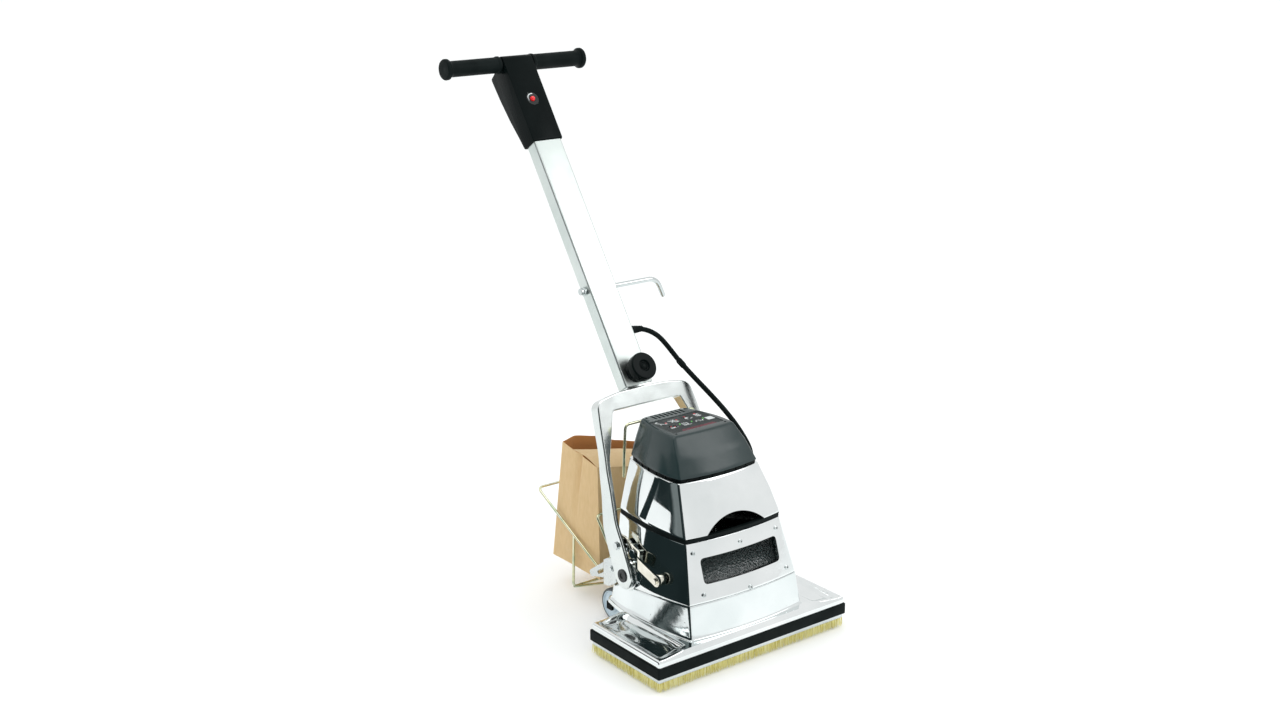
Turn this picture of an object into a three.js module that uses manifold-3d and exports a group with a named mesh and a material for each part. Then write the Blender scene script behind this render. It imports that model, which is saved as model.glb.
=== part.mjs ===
// A small floor drum sander: a cast base with a brush skirt, a drum behind a window, a motor under
// a two-part cover and cap, a cast yoke with a tube handle, a foot pedal, and a wire rack with a bag.
// Millimetres. +X is the operator's left-to-right seen from the front, +Y points back, +Z up.
import * as THREE from "three";
import { mergeVertices } from "three/addons/utils/BufferGeometryUtils.js";
import Module from "manifold-3d";

const wasm = await Module();
wasm.setup();

// Driving dimensions
const gap = 0.3; // clearance between pieces that touch
const baseHalfWidth = 225; // over the rubber bumper
const baseHalfDepth = 102.6;
const brushHeight = 19;
const holderTop = 27;
const bumperTop = 48;
const plateTop = 66.5;
const castingWall = 6;
const partingFront = 127; // height of the seam between the castings at the front corners
const partingSlope = -0.111; // the seam drops towards the back
const sealBottom = 231;
const sealTop = 240;
const ledgeHeight = 329;
const capBottom = 335;
const capTop = 401;
const drumCentre = { y: 16, z: 97 };
const drumRadius = 82;
const drumLeft = -84;
const drumRight = 104;
const sleeveThickness = 2.2;
const motorCentre = { y: 76, z: 282 };
const motorRadius = 55;
const beltPlane = -92;
const beltWidth = 9;
const motorPulleyRadius = 24;
const drumPulleyRadius = 34;
const wheelCentre = { y: 189, z: 32 };
const wheelRadius = 32;
const pivot = { y: 105, z: 132 };
const yokeLean = THREE.MathUtils.degToRad(25.3);
const handleLean = THREE.MathUtils.degToRad(34.68);
const tBarCentre = { y: 652.8, z: 1003.3 };
const tubeWidth = 64;
const tubeDepth = 30.5;
const tubeWall = 2.5;
const tubeBottom = -696.5; // along the tube, measured down from the T-bar
const knobAlong = -672;
const buttonAlong = -87;
const gripInner = 37.5;
const gripOuter = 163.5;
const hookAxis = { y: 372, z: 599.5 };
const pedalPivot = { y: 86, z: 180 };
const pedalRollerCentre = { y: 5, z: 157 };
const catchAlong = 56; // the catch bolt, along the yoke's leg from its pivot
const catchForward = 7.7;
const wireRadius = 2.75;
const rackHalfWidth = 104;
const cordRadius = 5;
const headHeel = { back: 43, along: -7.5 }; // the rearmost corner of the switch head, from the T-bar
const rearReach = tBarCentre.y + headHeel.back * Math.cos(handleLean) + headHeel.along * Math.sin(handleLean);
const originY = (rearReach - baseHalfDepth) / 2; // middle of the whole machine, front to back

// Materials
const finish = (color, roughness, metalness) =>
  new THREE.MeshStandardMaterial({ color, roughness, metalness });
const polishedAlloy = finish(0xd6dadb, 0.12, 1);
const satinAlloy = finish(0xdadddc, 0.35, 1);
const blackRubber = finish(0x101414, 0.6, 0);
const blackPlastic = finish(0x0a0c0c, 0.35, 0);
const slatePlastic = finish(0x33403f, 0.4, 0);
const chromeSteel = finish(0xc9cccb, 0.15, 1);
const zincWire = finish(0xb5b28c, 0.3, 1);
const bristle = finish(0xd9cf7a, 0.9, 0);
const abrasive = finish(0x2c3230, 0.8, 0);
const clearPane = finish(0x8fa09c, 0.1, 0);
const kraftPaper = finish(0xc9a877, 0.85, 0);
const wheelPlastic = finish(0xb9c9d1, 0.45, 0);
const redLamp = finish(0xb01818, 0.2, 0);

// Solids
const solidOf = (geometry) => {
  const plain = geometry.clone();
  plain.deleteAttribute("normal");
  plain.deleteAttribute("uv");
  const merged = mergeVertices(plain, 1e-4);
  const vertProperties = new Float32Array(merged.attributes.position.array);
  const triVerts = new Uint32Array(merged.index.array);
  return new wasm.Manifold(new wasm.Mesh({ numProp: 3, vertProperties, triVerts }));
};
const geometryOf = (solid) => {
  const made = solid.getMesh();
  const positions = new THREE.BufferAttribute(new Float32Array(made.vertProperties), 3);
  const geometry = new THREE.BufferGeometry().setAttribute("position", positions);
  geometry.setIndex(new THREE.BufferAttribute(new Uint32Array(made.triVerts), 1));
  geometry.computeVertexNormals();
  return geometry;
};
const join = (first, ...others) =>
  geometryOf(others.reduce((sum, g) => sum.add(solidOf(g)), solidOf(first)));
const cut = (first, ...others) =>
  geometryOf(others.reduce((rest, g) => rest.subtract(solidOf(g)), solidOf(first)));
const common = (first, other) => geometryOf(solidOf(first).intersect(solidOf(other)));

// Shapes
const boxBetween = (low, high) => {
  const size = high.map((v, i) => v - low[i]);
  const middle = high.map((v, i) => (v + low[i]) / 2);
  return new THREE.BoxGeometry(...size).translate(...middle);
};
const rodX = (radius, x0, x1, centre, segments = 20) =>
  new THREE.CylinderGeometry(radius, radius, x1 - x0, segments)
    .rotateZ(Math.PI / 2)
    .translate((x0 + x1) / 2, centre.y, centre.z);
const flatShape = (points) => new THREE.Shape(points.map(([a, b]) => new THREE.Vector2(a, b)));
const extrude = (shape, depth, curveSegments = 6) =>
  new THREE.ExtrudeGeometry(shape, { depth, bevelEnabled: false, curveSegments });
// An outline in the side view, as [y, z] points, with thickness from x0 to x1.
const sidePlate = (shape, x0, x1, curveSegments) =>
  extrude(shape, x1 - x0, curveSegments).applyMatrix4(
    new THREE.Matrix4().makeBasis(
      new THREE.Vector3(0, 1, 0),
      new THREE.Vector3(0, 0, 1),
      new THREE.Vector3(1, 0, 0),
    ),
  ).translate(x0, 0, 0);
// An outline in the front view, as [x, z] points, with thickness from y0 to y1.
const frontPlate = (shape, y0, y1) =>
  extrude(shape, y1 - y0).rotateX(Math.PI / 2).translate(0, y1, 0);
// An outline in the top view, as [x, y] points, with thickness from z0 to z1.
const topPlate = (shape, z0, z1) => extrude(shape, z1 - z0).translate(0, 0, z0);
const roundedRectangle = (x0, y0, x1, y1, radius) => {
  const shape = new THREE.Shape();
  shape.absarc(x1 - radius, y1 - radius, radius, 0, Math.PI / 2);
  shape.absarc(x0 + radius, y1 - radius, radius, Math.PI / 2, Math.PI);
  shape.absarc(x0 + radius, y0 + radius, radius, Math.PI, 1.5 * Math.PI);
  shape.absarc(x1 - radius, y0 + radius, radius, 1.5 * Math.PI, 2 * Math.PI);
  return shape;
};
const ring = (outer, inner, radius, z0, z1) =>
  cut(
    topPlate(roundedRectangle(-outer[0], -outer[1], outer[0], outer[1], radius), z0, z1),
    boxBetween([-inner[0], -inner[1], z0 - 1], [inner[0], inner[1], z1 + 1]),
  );
// A path straight from point to point, with one step of the sweep at each point.
class PointPath extends THREE.Curve {
  constructor(points) {
    super();
    this.points = points;
  }

  getPoint(t) {
    const last = this.points.length - 1;
    const from = Math.min(Math.floor(t * last + 1e-6), last - 1);
    return this.points[from].clone().lerp(this.points[from + 1], t * last - from);
  }

  getPointAt(t) {
    return this.getPoint(t);
  }

  getTangentAt(t) {
    const last = this.points.length - 1;
    const at = Math.round(t * last);
    const before = this.points[Math.max(at - 1, 0)];
    const after = this.points[Math.min(at + 1, last)];
    return after.clone().sub(before).normalize();
  }
}
const roundSection = (radius, sides) => {
  const corners = Array.from({ length: sides }, (_, i) => {
    const angle = (2 * Math.PI * i) / sides;
    return [radius * Math.cos(angle), radius * Math.sin(angle)];
  });
  return flatShape(corners);
};
const sweep = (points, radius, sides) =>
  new THREE.ExtrudeGeometry(roundSection(radius, sides), {
    steps: points.length - 1,
    extrudePath: new PointPath(points),
    curveSegments: 1,
  });
// A wire bent along a route of [x, y, z] points, with its corners rounded to bend.
const wire = (route, radius, bend, sides = 6) => {
  const corners = route.map((p) => new THREE.Vector3(...p));
  const points = [corners[0]];
  corners.slice(1, -1).forEach((corner, i) => {
    const before = corners[i].clone().sub(corner).setLength(bend).add(corner);
    const after = corners[i + 2].clone().sub(corner).setLength(bend).add(corner);
    points.push(...new THREE.QuadraticBezierCurve3(before, corner, after).getPoints(3));
  });
  points.push(corners.at(-1));
  return sweep(points, radius, sides);
};
const turned = (profile, segments = 24) =>
  new THREE.LatheGeometry(profile.map(([r, h]) => new THREE.Vector2(r, h)), segments);

// A closed skin through matching loops of points, from the lowest loop to the highest.
const loft = (loops) => {
  const count = loops[0].length;
  const positions = loops.flat().flatMap((p) => [p.x, p.y, p.z]);
  const faces = THREE.ShapeUtils.triangulateShape(
    loops[0].map((p) => new THREE.Vector2(p.x, p.y)),
    [],
  );
  const index = faces.flatMap(([a, b, c]) => [a, c, b]);
  const last = (loops.length - 1) * count;
  faces.forEach(([a, b, c]) => index.push(last + a, last + b, last + c));
  for (let row = 0; row < loops.length - 1; row += 1) {
    for (let i = 0; i < count; i += 1) {
      const a = row * count + i;
      const b = row * count + ((i + 1) % count);
      index.push(a, b, b + count, a, b + count, a + count);
    }
  }
  const geometry = new THREE.BufferGeometry();
  geometry.setAttribute("position", new THREE.Float32BufferAttribute(positions, 3));
  geometry.setIndex(index);
  return geometry;
};

// The body's outline at some heights: the front corner, the front's bulge, the side's widest
// point, the rear corner and how far the back stands behind it.
const bodyOutlines = [
  { z: 60, front: [133, -78.5], bulge: 12, side: [151, 60], rear: [140, 160], back: 7 },
  { z: 67, front: [132, -77], bulge: 12, side: [149, 60], rear: [138, 160], back: 7 },
  { z: 110, front: [129, -68], bulge: 13, side: [136, 60], rear: [126, 163], back: 6 },
  { z: 127, front: [128, -65], bulge: 14, side: [134, 60], rear: [124, 164], back: 6 },
  { z: 180, front: [120, -49.5], bulge: 13, side: [127, 60], rear: [118, 166], back: 5 },
  { z: 231, front: [112.4, -34.5], bulge: 11, side: [121, 55], rear: [112, 167], back: 4 },
  { z: 240, front: [113.7, -34.5], bulge: 12, side: [120, 50], rear: [111, 168], back: 4 },
  { z: 285, front: [105.5, -15], bulge: 12, side: [110, 55], rear: [97, 172], back: 3 },
  { z: 329, front: [94.7, 8], bulge: 11, side: [99, 63], rear: [81, 177], back: 2 },
];
const capOutlines = [
  { z: capBottom, front: [92, 8], bulge: 11, side: [97, 63], rear: [80, 175], back: 2 },
  { z: 370, front: [82, 29], bulge: 9, side: [85, 76], rear: [68, 175], back: 2 },
  { z: 397, front: [72, 50], bulge: 5, side: [73, 92], rear: [58, 174], back: 1 },
  { z: capTop, front: [70, 52], bulge: 4, side: [71, 92], rear: [57, 173], back: 1 },
];
const between = (a, b, t) => a + (b - a) * t;
const outlineAt = (table, z) => {
  const next = Math.max(1, table.findIndex((row) => row.z >= z));
  const upper = table[next];
  const lower = table[next - 1];
  const t = (z - lower.z) / (upper.z - lower.z);
  return {
    z,
    front: [between(lower.front[0], upper.front[0], t), between(lower.front[1], upper.front[1], t)],
    bulge: between(lower.bulge, upper.bulge, t),
    side: [between(lower.side[0], upper.side[0], t), between(lower.side[1], upper.side[1], t)],
    rear: [between(lower.rear[0], upper.rear[0], t), between(lower.rear[1], upper.rear[1], t)],
    back: between(lower.back, upper.back, t),
  };
};
const bezier = (a, b, c, t) =>
  [0, 1].map((k) => (1 - t) ** 2 * a[k] + 2 * t * (1 - t) * b[k] + t ** 2 * c[k]);
// One loop round the body, drawn inwards by inset.
const loopOf = (row, inset = 0) => {
  const frontX = row.front[0] - inset;
  const frontY = row.front[1] + inset;
  const sideX = row.side[0] - inset;
  const rear = [row.rear[0] - inset, row.rear[1] - inset];
  const corner = 5;
  const rearRound = 16;
  const frontCurve = (x) => frontY - row.bulge * (1 - (x / frontX) ** 2);
  const half = [];
  for (const share of [0, 0.25, 0.5, 0.75]) {
    const x = share * (frontX - corner);
    half.push([x, frontCurve(x)]);
  }
  const cornerStart = [frontX - corner, frontCurve(frontX - corner)];
  const sideRise = (sideX - frontX) / (row.side[1] - row.front[1]);
  const cornerEnd = [frontX + corner * sideRise, frontY + corner];
  for (const t of [0, 0.33, 0.67, 1]) {
    half.push(bezier(cornerStart, [frontX, frontY], cornerEnd, t));
  }
  const rearStart = [rear[0] + 1, rear[1] - rearRound];
  const sideCurve = [2 * sideX - (cornerEnd[0] + rearStart[0]) / 2, row.side[1]];
  for (const t of [0.25, 0.5, 0.75, 1]) half.push(bezier(cornerEnd, sideCurve, rearStart, t));
  const rearEnd = [rear[0] - rearRound, rear[1] + row.back * 0.4];
  for (const t of [0.33, 0.67, 1]) half.push(bezier(rearStart, rear, rearEnd, t));
  half.push([0, rear[1] + row.back]);
  const mirrored = half.slice(1, -1).reverse().map(([x, y]) => [-x, y]);
  return [...half, ...mirrored].map(([x, y]) => new THREE.Vector3(x, y, row.z));
};
const body = (table, heights, inset = 0) =>
  loft(heights.map((z) => loopOf(outlineAt(table, z), inset)));
// Everything above or below the slanted seam between the two castings.
const partingHalf = (above, lift) => {
  const reach = 400;
  const slab = boxBetween([-reach, -reach, above ? -reach : 0], [reach, reach, above ? 0 : reach]);
  return slab.rotateX(Math.atan(partingSlope)).translate(0, -65, partingFront + lift);
};
// Where the front face of the body is, at a place in the front view.
const frontSurface = (x, z) => {
  const row = outlineAt(bodyOutlines, z);
  const corner = row.front[0];
  return row.front[1] - row.bulge * (1 - (x / corner) ** 2);
};

// Moves a piece drawn at the origin, facing -Y, onto the front face, square to it.
const placeOnFront = (geometry, x, z) => {
  const step = 5;
  const rise = (frontSurface(x, z + step) - frontSurface(x, z - step)) / (2 * step);
  const sweep = (frontSurface(x + step, z) - frontSurface(x - step, z)) / (2 * step);
  return geometry
    .rotateX(-Math.atan(rise))
    .rotateZ(Math.atan(sweep))
    .translate(x, frontSurface(x, z), z);
};

const group = new THREE.Group();
const machine = new THREE.Group();
machine.position.y = -originY;
group.add(machine);
const addTo = (parent, name, geometry, material) => {
  const mesh = new THREE.Mesh(geometry, material);
  mesh.name = name;
  parent.add(mesh);
  return mesh;
};
const add = (name, geometry, material) => addTo(machine, name, geometry, material);

// Brush skirt, its holder and the bumper
const brushInset = 4;
const brushDepth = 11;
const cornerGap = 1.5;
const skirtX = baseHalfWidth - brushInset;
const skirtY = baseHalfDepth - brushInset;
for (const [name, side] of [["brush_front", -1], ["brush_rear", 1]]) {
  const outer = side * skirtY;
  const inner = side * (skirtY - brushDepth);
  add(
    name,
    boxBetween([-skirtX, Math.min(outer, inner), 0], [skirtX, Math.max(outer, inner), brushHeight]),
    bristle,
  );
}
for (const [name, side] of [["brush_left", -1], ["brush_right", 1]]) {
  const outer = side * skirtX;
  const inner = side * (skirtX - brushDepth);
  const end = skirtY - brushDepth - cornerGap;
  add(
    name,
    boxBetween([Math.min(outer, inner), -end, 0], [Math.max(outer, inner), end, brushHeight]),
    bristle,
  );
}
add(
  "brush_holder",
  ring([skirtX + 0.5, skirtY + 0.5], [skirtX - 15, skirtY - 15], 3, brushHeight + gap, holderTop),
  satinAlloy,
);
const bumperWall = 6;
add(
  "edge_bumper",
  ring(
    [baseHalfWidth, baseHalfDepth],
    [baseHalfWidth - bumperWall, baseHalfDepth - bumperWall],
    4,
    holderTop + gap,
    bumperTop,
  ),
  blackRubber,
);

// Base casting: a flange plate over the bumper and the walls round the drum
const lipX = baseHalfWidth - 3;
const lipY = baseHalfDepth - 3;
const skirtCore = topPlate(
  roundedRectangle(
    -baseHalfWidth + bumperWall + gap,
    -baseHalfDepth + bumperWall + gap,
    baseHalfWidth - bumperWall - gap,
    baseHalfDepth - bumperWall - gap,
    2,
  ),
  holderTop + gap,
  bumperTop + 2,
);
const plateLoop = (halfX, halfY, z) =>
  roundedRectangle(-halfX, -halfY, halfX, halfY, 4)
    .getPoints(4)
    .slice(0, -1)
    .map((p) => new THREE.Vector3(p.x, p.y, z));
const plate = loft([
  plateLoop(lipX, lipY, bumperTop + gap),
  plateLoop(lipX, lipY, 59),
  plateLoop(lipX - 3, lipY - 2.5, 60.5),
  plateLoop(lipX - 60, lipY - 5, plateTop),
]);
const lug = sidePlate(
  flatShape([
    [92, bumperTop + gap + 1],
    [104, bumperTop + gap + 1],
    [150, 24],
    [189, 20],
    [201, 32],
    [193, 44],
    [158, 64],
    [92, 64],
  ]),
  -4,
  4,
);
const wallHeights = [60, 67, 110, 150];
const baseSolid = cut(
  join(
    skirtCore,
    plate,
    body(bodyOutlines, wallHeights),
    lug.clone().translate(-80, 0, 0),
    lug.clone().translate(80, 0, 0),
  ),
  partingHalf(false, -gap / 2),
  body(bodyOutlines, [plateTop, 110, 160], castingWall),
  boxBetween([-117, -64, 0], [117, 94.5, plateTop + 1]),
  rodX(6.4, -120, 120, wheelCentre),
  topPlate(
    roundedRectangle(-baseHalfWidth + 21, -baseHalfDepth + 21, -122, baseHalfDepth - 21, 6),
    0,
    bumperTop + 2,
  ),
  topPlate(
    roundedRectangle(122, -baseHalfDepth + 21, baseHalfWidth - 21, baseHalfDepth - 21, 6),
    0,
    bumperTop + 2,
  ),
);
add("base_casting", baseSolid, polishedAlloy);

// Middle casting with the window, and the bosses that carry the yoke
const earRadius = 30;
const earOuter = 138.4;
const windowHalf = 90;
const windowLow = 158;
const windowHigh = 203;
const screwPlaces = [
  [-101, 214],
  [2, 214],
  [95, 214],
  [-95, 141],
  [6, 133],
  [104, 141],
];
const pivotBore = 8.3;
const midHeights = [100, 127, 180, sealBottom];
const midSolid = cut(
  body(bodyOutlines, midHeights),
  partingHalf(true, gap / 2),
  body(bodyOutlines, [90, 127, 180, sealBottom, 236], castingWall),
  frontPlate(roundedRectangle(-windowHalf, windowLow, windowHalf, windowHigh, 9), -110, 0),
  ...screwPlaces.map(([x, z]) => placeOnFront(new THREE.CylinderGeometry(2.5, 2.5, 24, 12), x, z)),
  rodX(pivotBore, -150, 150, pivot),
  rodX(5.3, -150, -100, pedalPivot),
);
add("mid_casing", midSolid, polishedAlloy);
for (const [name, side] of [["pivot_boss_left", -1], ["pivot_boss_right", 1]]) {
  const ends = [side * 118, side * earOuter].sort((a, b) => a - b);
  add(
    name,
    cut(
      rodX(earRadius, ...ends, pivot, 28),
      body(bodyOutlines, wallHeights, -gap),
      body(bodyOutlines, midHeights, -gap),
      rodX(pivotBore, -150, 150, pivot),
    ),
    polishedAlloy,
  );
}
const paneOuter = castingWall + gap;
add(
  "window_pane",
  common(
    cut(
      body(bodyOutlines, [140, 180, 220], paneOuter),
      body(bodyOutlines, [130, 180, 231], paneOuter + 2.5),
    ),
    boxBetween([-97, -100, windowLow - 6], [97, 0, windowHigh + 6]),
  ),
  clearPane,
);
const screwProfile = [
  [0, -6.5],
  [2, -6.5],
  [2, 0.5],
  [4.3, 0.5],
  [4.3, 1.5],
  [2.6, 2.5],
  [0, 2.8],
];
screwPlaces.forEach(([x, z], i) => {
  const screw = turned(screwProfile, 12).rotateX(Math.PI);
  add(`window_screw_${i + 1}`, placeOnFront(screw, x, z), chromeSteel);
});

// Seal band, upper cover and the ring that the cap sits on
const openRing = (table, heights, inset, width) =>
  cut(
    body(table, heights, inset),
    loft([
      loopOf(outlineAt(table, heights[0]), inset + width).map((p) => p.setZ(heights[0] - 2)),
      loopOf(outlineAt(table, heights.at(-1)), inset + width).map((p) => p.setZ(heights.at(-1) + 2)),
    ]),
  );
add("casing_seal", openRing(bodyOutlines, [sealBottom + gap, sealTop - gap], 0.6, 8), blackRubber);
const coverWall = 5;
const archHalf = 68;
const archRise = 27;
const archRadius = (archHalf ** 2 + archRise ** 2) / (2 * archRise);
const arch = new THREE.Shape().absarc(0, sealTop + archRise - archRadius, archRadius, 0, 2 * Math.PI);
add(
  "upper_cover",
  cut(
    body(bodyOutlines, [sealTop, 285, ledgeHeight]),
    loft(
      [sealBottom - 1, sealTop, 285, ledgeHeight].map((z) =>
        loopOf(outlineAt(bodyOutlines, Math.max(z, sealTop)), coverWall).map((p) => p.setZ(z)),
      ),
    ),
    boxBetween([-75, 22, ledgeHeight - 9], [75, 168, capBottom + 5]),
    common(frontPlate(arch, -70, -5), boxBetween([-90, -70, sealTop - 5], [90, 0, 300])),
    rodX(6.4, 90, 130, { y: 96, z: 262 }, 16),
  ),
  polishedAlloy,
);
const seatOutlines = [
  { ...capOutlines[0], z: ledgeHeight + gap },
  { ...capOutlines[0], z: capBottom - gap },
];
add(
  "cap_seat",
  openRing(seatOutlines, [ledgeHeight + gap, capBottom - gap], 2.5, 12),
  blackPlastic,
);

// Motor cap with its control panel and the comb of slots along its back edge
const panelBox = { x: 60, front: 66, rear: 141, depth: 1.8 };
const capWall = 3.5;
const slotCount = 8;
const slots = [];
for (let i = 0; i < slotCount; i += 1) {
  const x = (i - (slotCount - 1) / 2) * 9.5;
  slots.push(boxBetween([x - 2.4, 149, capTop - 2.5], [x + 2.4, 168, capTop + 1]));
}
add(
  "motor_cap",
  cut(
    body(capOutlines, [capBottom, 370, 397, capTop]),
    loft(
      [330, 335, 370, 396.5].map((z) =>
        loopOf(outlineAt(capOutlines, Math.max(z, capBottom)), capWall).map((p) => p.setZ(z)),
      ),
    ),
    boxBetween([-panelBox.x, panelBox.front, capTop - panelBox.depth], [panelBox.x, panelBox.rear, capTop + 1]),
    ...slots,
  ),
  slatePlastic,
);
add(
  "control_panel",
  boxBetween(
    [-panelBox.x + gap, panelBox.front + gap, capTop - panelBox.depth + gap],
    [panelBox.x - gap, panelBox.rear - gap, capTop - 0.5],
  ),
  blackPlastic,
);

// Sanding drum on its stub shafts, with the abrasive sleeve and the belt pulley
const boredDisc = (outer, bore, x0, x1, centre, segments = 24, boreSegments = 16) =>
  cut(rodX(outer, x0, x1, centre, segments), rodX(bore, x0 - 1, x1 + 1, centre, boreSegments));
const shaftRadius = 9;
add(
  "drum_core",
  join(
    rodX(drumRadius - sleeveThickness - gap, drumLeft, drumRight, drumCentre, 40),
    rodX(shaftRadius, -123, 125, drumCentre),
  ),
  satinAlloy,
);
add(
  "abrasive_sleeve",
  boredDisc(drumRadius, drumRadius - sleeveThickness, drumLeft, drumRight, drumCentre, 40, 40),
  abrasive,
);
const pulleyHalf = beltWidth / 2 + 1;
add(
  "drum_pulley",
  boredDisc(drumPulleyRadius, shaftRadius + gap, beltPlane - pulleyHalf, beltPlane + pulleyHalf, drumCentre),
  satinAlloy,
);
const bearingRadius = 23;
add("bearing_left", boredDisc(bearingRadius, shaftRadius + 0.4, -124, -105, drumCentre, 24), satinAlloy);
add("bearing_right", boredDisc(bearingRadius, shaftRadius + 0.4, 109, 125.5, drumCentre, 24), satinAlloy);

// Motor, its shaft, its cooling fan and the belt that drives the drum
const motorShaftRadius = 7;
add(
  "motor",
  cut(
    join(
      rodX(motorRadius, -52, 50, motorCentre, 32),
      rodX(motorRadius - 14, -70, 62, motorCentre, 24),
      boxBetween([-30, motorCentre.y - 26, 226], [34, motorCentre.y + 26, 262]),
    ),
    rodX(motorShaftRadius + 0.5, -80, 80, motorCentre),
  ),
  blackPlastic,
);
add("motor_shaft", rodX(motorShaftRadius, -98, 86, motorCentre), chromeSteel);
add(
  "motor_pulley",
  boredDisc(
    motorPulleyRadius,
    motorShaftRadius + gap,
    beltPlane - pulleyHalf,
    beltPlane + pulleyHalf,
    motorCentre,
    24,
  ),
  satinAlloy,
);
const fanRadius = 46;
const vaneCount = 10;
const fanParts = [boredDisc(fanRadius, motorShaftRadius + gap, 66, 69, motorCentre)];
fanParts.push(boredDisc(13, motorShaftRadius + gap, 66, 84, motorCentre, 20));
for (let i = 0; i < vaneCount; i += 1) {
  fanParts.push(
    boxBetween([68.5, -1.2, 12], [82, 1.2, fanRadius - 1])
      .rotateX((2 * Math.PI * i) / vaneCount)
      .translate(0, motorCentre.y, motorCentre.z),
  );
}
add("fan_wheel", join(...fanParts), blackPlastic);
const beltSpan = {
  y: motorCentre.y - drumCentre.y,
  z: motorCentre.z - drumCentre.z,
};
const beltLength = Math.hypot(beltSpan.y, beltSpan.z);
const beltLoop = (extra) => {
  const small = motorPulleyRadius + extra;
  const large = drumPulleyRadius + extra;
  const slope = Math.asin((large - small) / beltLength);
  const shape = new THREE.Shape();
  shape.absarc(0, 0, large, Math.PI - slope, 2 * Math.PI + slope);
  shape.absarc(0, beltLength, small, slope, Math.PI - slope);
  return shape;
};
const beltThickness = 3;
add(
  "drive_belt",
  cut(
    sidePlate(beltLoop(2 * gap + beltThickness), -beltWidth / 2, beltWidth / 2, 12),
    sidePlate(beltLoop(2 * gap), -beltWidth, beltWidth, 12),
  )
    .rotateX(-Math.atan2(beltSpan.y, beltSpan.z))
    .translate(beltPlane, drumCentre.y, drumCentre.z),
  blackRubber,
);

// Transport wheels behind the base
const squareEnd = (x0, x1) =>
  boxBetween([x0, wheelCentre.y - 8, wheelCentre.z - 8], [x1, wheelCentre.y + 8, wheelCentre.z + 8]);
add(
  "wheel_axle",
  join(rodX(6, -112, 112, wheelCentre), squareEnd(-116, -111), squareEnd(111, 116)),
  blackPlastic,
);
for (const [name, side] of [["wheel_left", -1], ["wheel_right", 1]]) {
  const profile = [
    [6.4, 88],
    [14, 88],
    [15, 91],
    [26, 92],
    [27, 89],
    [30.5, 89],
    [wheelRadius, 91],
    [wheelRadius, 108],
    [30.5, 110],
    [27, 110],
    [25, 107],
    [15, 107],
    [14, 110.5],
    [6.4, 110.5],
    [6.4, 88],
  ];
  const mesh = add(name, turned(profile, 24).rotateZ(-Math.PI / 2), wheelPlastic);
  mesh.position.set(0, wheelCentre.y, wheelCentre.z);
  if (side < 0) mesh.rotation.y = Math.PI;
}

// Yoke: two legs and a bar, drawn with its pivot at the origin and Z along its legs
const yokeFrame = new THREE.Group();
yokeFrame.position.set(0, pivot.y, pivot.z);
yokeFrame.rotation.x = -yokeLean;
machine.add(yokeFrame);
const handleFrame = new THREE.Group();
handleFrame.position.set(0, tBarCentre.y, tBarCentre.z);
handleFrame.rotation.x = -handleLean;
machine.add(handleFrame);
const eyeRadius = 26;
const legOuter = 147;
const legInner = 139;
const barTop = 333;
const outerEdge = [
  [legOuter, -eyeRadius],
  [legOuter, 92],
  [142, 122],
  [136, 152],
  [130, 190],
  [122.5, 229],
  [116.5, 279],
  [111, 310],
  [106, 320],
  [97, 326],
  [60, 331],
];
const innerEdge = [
  [legInner, -eyeRadius],
  [legInner, 92],
  [133, 120],
  [125, 160],
  [116, 206],
  [105, 233],
  [94, 260],
  [82, 293],
  [78, 298],
];
const mirrorEdge = (edge) => edge.map(([x, s]) => [-x, s]);
const yokeFront = flatShape([
  ...outerEdge,
  [0, barTop],
  ...mirrorEdge(outerEdge).reverse(),
  ...mirrorEdge(innerEdge),
  ...[...innerEdge].reverse(),
]);
const yokeSide = new THREE.Shape();
yokeSide.absarc(0, 0, eyeRadius, Math.PI, 2 * Math.PI);
const yokeBack = [
  [23.5, 75],
  [16.5, 157],
  [12, 229],
  [13, 290],
  [14, 300],
  [14, 334],
];
const yokeFace = [
  [-14, 334],
  [-14, 290],
  [-13, 229],
  [-17, 157],
  [-23.5, 75],
];
for (const [y, s] of [...yokeBack, ...yokeFace]) yokeSide.lineTo(y, s);
yokeFrame.updateMatrixWorld(true);
handleFrame.updateMatrixWorld(true);
machine.updateMatrixWorld(true);
const handleToYoke = yokeFrame.matrixWorld.clone().invert().multiply(handleFrame.matrixWorld);
const spigot = boxBetween(
  [-tubeWidth / 2 + tubeWall + 1.2, -tubeDepth / 2 + tubeWall + 0.8, tubeBottom - 12],
  [tubeWidth / 2 - tubeWall - 1.2, tubeDepth / 2 - tubeWall - 0.8, tubeBottom + 90],
).applyMatrix4(handleToYoke);
const catchBolt = { y: -catchForward, z: catchAlong };
addTo(
  yokeFrame,
  "yoke",
  cut(
    join(common(frontPlate(yokeFront, -40, 40), sidePlate(yokeSide, -160, 160)), spigot),
    rodX(8.6, -160, -130, { y: 0, z: 0 }, 24),
    rodX(8.6, 130, 160, { y: 0, z: 0 }, 24),
    rodX(4.3, -160, -130, catchBolt, 16),
  ),
  satinAlloy,
);
for (const [name, side] of [["pivot_bolt_left", -1], ["pivot_bolt_right", 1]]) {
  const ends = [side * 124, side * 145.5].sort((a, b) => a - b);
  add(name, rodX(8, ...ends, pivot, 24), blackPlastic);
}
const hexAlong = (radius, x0, x1, centre) => rodX(radius, x0, x1, centre, 6);
addTo(
  yokeFrame,
  "catch_bolt",
  join(rodX(4, -147.5, -128, catchBolt, 16), hexAlong(7, -151.5, -147.3, catchBolt)),
  chromeSteel,
);
addTo(
  yokeFrame,
  "catch_roller",
  cut(rodX(9, -138.4, -129.5, catchBolt, 24), rodX(4.4, -150, -120, catchBolt, 16)),
  blackRubber,
);

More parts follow.
